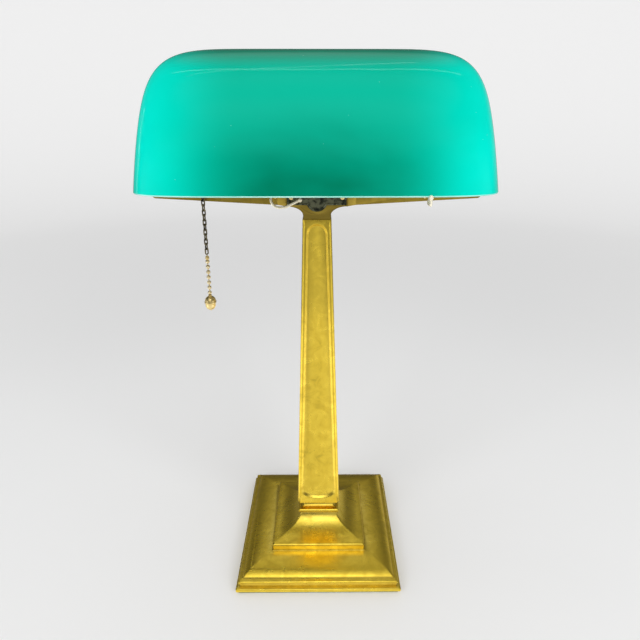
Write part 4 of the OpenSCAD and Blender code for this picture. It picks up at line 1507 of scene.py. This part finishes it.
@dataclass
class Studio:
    """A pale seamless floor, soft lights and the camera."""

    pale: Colour = (0.82, 0.82, 0.82)
    lift: Point = (0.06, 0.26)
    near: float = 0.78
    far: float = 2.4
    lens: float = 28.53
    eye: Place = (0.00447, -0.3683, 0.3589)
    pitch: float = 18.06
    yaw: float = 0.0066
    shift: Point = (-0.0102, -0.0625)
    even: float = 0.62
    darkest: float = 0.02
    panels: tuple[Panel, ...] = (
        Panel((0.0, 0.0, 1.0), 179.0, 180.0, 0.10),
        Panel((0.0, 0.0, -1.0), 67.0, 71.0, 0.84),
        Panel((0.0, -0.79, 0.62), 10.0, 30.0, 1.15),
        Panel((0.0, -0.42, 0.91), 14.0, 34.0, 1.0),
        Panel((0.0, -1.0, 0.05), 6.0, 50.0, 0.15),
        Panel((-0.88, -0.45, -0.25), 12.0, 34.0, 0.95),
        Panel((0.88, -0.45, -0.25), 12.0, 34.0, 0.85),
        Panel((0.30, -0.95, -0.02), 4.0, 20.0, 0.30),
        Panel((0.0, 0.50, 0.87), 8.0, 26.0, 0.60),
        Panel((0.70, 0.68, 0.0), 8.0, 34.0, 0.36),
        Panel((-0.70, 0.68, 0.0), 8.0, 34.0, 0.12))
    lights: tuple[SoftBox, ...] = (
        SoftBox("key", (0.95, -1.2, 0.9), (0.0, 0.0, 0.2), (1.1, 0.8), 11.5),
        SoftBox("fill", (-0.95, -1.15, 0.85), (0.0, 0.0, 0.2), (0.9, 0.8), 7.5),
        SoftBox("overhead strip", (0.0, 0.11, 1.5), (0.0, 0.0, 0.38), (1.3, 0.02), 0.5, True),
        SoftBox("second overhead strip", (-0.1, 0.17, 1.5), (0.0, 0.0, 0.38), (0.9, 0.012), 0.2, True),
        SoftBox("side strip", (-1.3, 0.30, 0.45), (0.0, 0.0, 0.34), (0.025, 0.9), 0.5, True),
        SoftBox("second side strip", (-1.3, 0.42, 0.45), (0.0, 0.0, 0.34), (0.015, 0.8), 0.25, True))

    def surface(self) -> bpy.types.Material:
        """The floor's plain matt finish."""
        g = Graph("pale_floor")
        apart = g.node("ShaderNodeVectorMath", operation="LENGTH")
        g.feed(apart.inputs[0], g.node("ShaderNodeTexCoord").outputs["Object"])
        lift = g.span(apart.outputs["Value"], 0.5, 2.6, self.lift[0], self.lift[1])
        g.set(base_color=self.pale, roughness=0.9, specular_ior_level=0.1, emission_color=WHITE,
              emission_strength=lift)
        return g.material

    def ground(self) -> None:
        """The floor, and a far sweep that only the camera sees."""
        paper = self.surface()
        near = Shape()
        bmesh.ops.create_circle(near.bm, cap_ends=True, segments=96, radius=self.near)
        far = Shape()
        rise = [(self.near, 0.0), (1.5, 0.0), *arc(1.5, 0.9, 0.9, 0.9, -90, 0, 16), (self.far, 6.0)]
        far.turned(rise, steps=96)
        for shape, name in ((near, "floor"), (far, "sweep")):
            made = shape.raw(name)
            made.data.materials.append(paper)
            for face in made.data.polygons:
                face.use_smooth = True
            made.visible_glossy = False
            if name == "sweep":
                made.visible_diffuse = made.visible_shadow = False
                made.visible_transmission = False

    def world(self) -> None:
        """Soft surroundings: even for matt surfaces, and broad soft panels in reflections."""
        made = bpy.data.worlds.new("studio")
        bpy.context.scene.world = made
        tree = Tree(made)
        where = tree.node("ShaderNodeTexCoord").outputs["Generated"]
        first, *others = (panel.glow(tree, where) for panel in self.panels)
        for glow in others:
            first = tree.math("ADD", first, glow)
        mirrored = tree.math("MAXIMUM", first, self.darkest)
        choose = tree.node("ShaderNodeMixShader")
        tree.feed(choose.inputs[0], tree.node("ShaderNodeLightPath").outputs["Is Glossy Ray"])
        for slot, colour, strength in ((1, WHITE, self.even), (2, (1.0, 0.985, 0.95), mirrored)):
            light = tree.node("ShaderNodeBackground")
            tree.feed(light.inputs["Color"], (*colour, 1.0))
            tree.feed(light.inputs["Strength"], strength)
            tree.feed(choose.inputs[slot], light.outputs[0])
        tree.feed(tree.node("ShaderNodeOutputWorld").inputs["Surface"], choose.outputs[0])

    def camera(self) -> None:
        """The camera, above and in front, looking down at the lamp."""
        data = bpy.data.cameras.new("camera")
        data.lens, data.sensor_width = self.lens, 36.0
        data.shift_x, data.shift_y = self.shift
        data.clip_start = 0.01
        made = bpy.data.objects.new("camera", data)
        made.location = self.eye
        made.rotation_euler = (math.radians(90 - self.pitch), 0.0, -self.yaw)
        bpy.context.scene.collection.objects.link(made)
        bpy.context.scene.camera = made

    def build(self) -> None:
        """Set up the stage."""
        self.camera()
        self.ground()
        self.world()
        for light in self.lights:
            light.add()
        bpy.context.scene.view_settings.view_transform = "Standard"


def main() -> None:
    """Build the lamp and its stage."""
    logging.basicConfig(level=logging.INFO, format="%(message)s")
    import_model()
    Studio().build()
    parts: list[Callable[[], None]] = [
        Base().build, Column().build, Arm().build, Hooks().build, Shade().build, Socket().build,
        PullChain().build, Bulb().build]
    for part in parts:
        part()


if __name__ == "__main__":
    main()
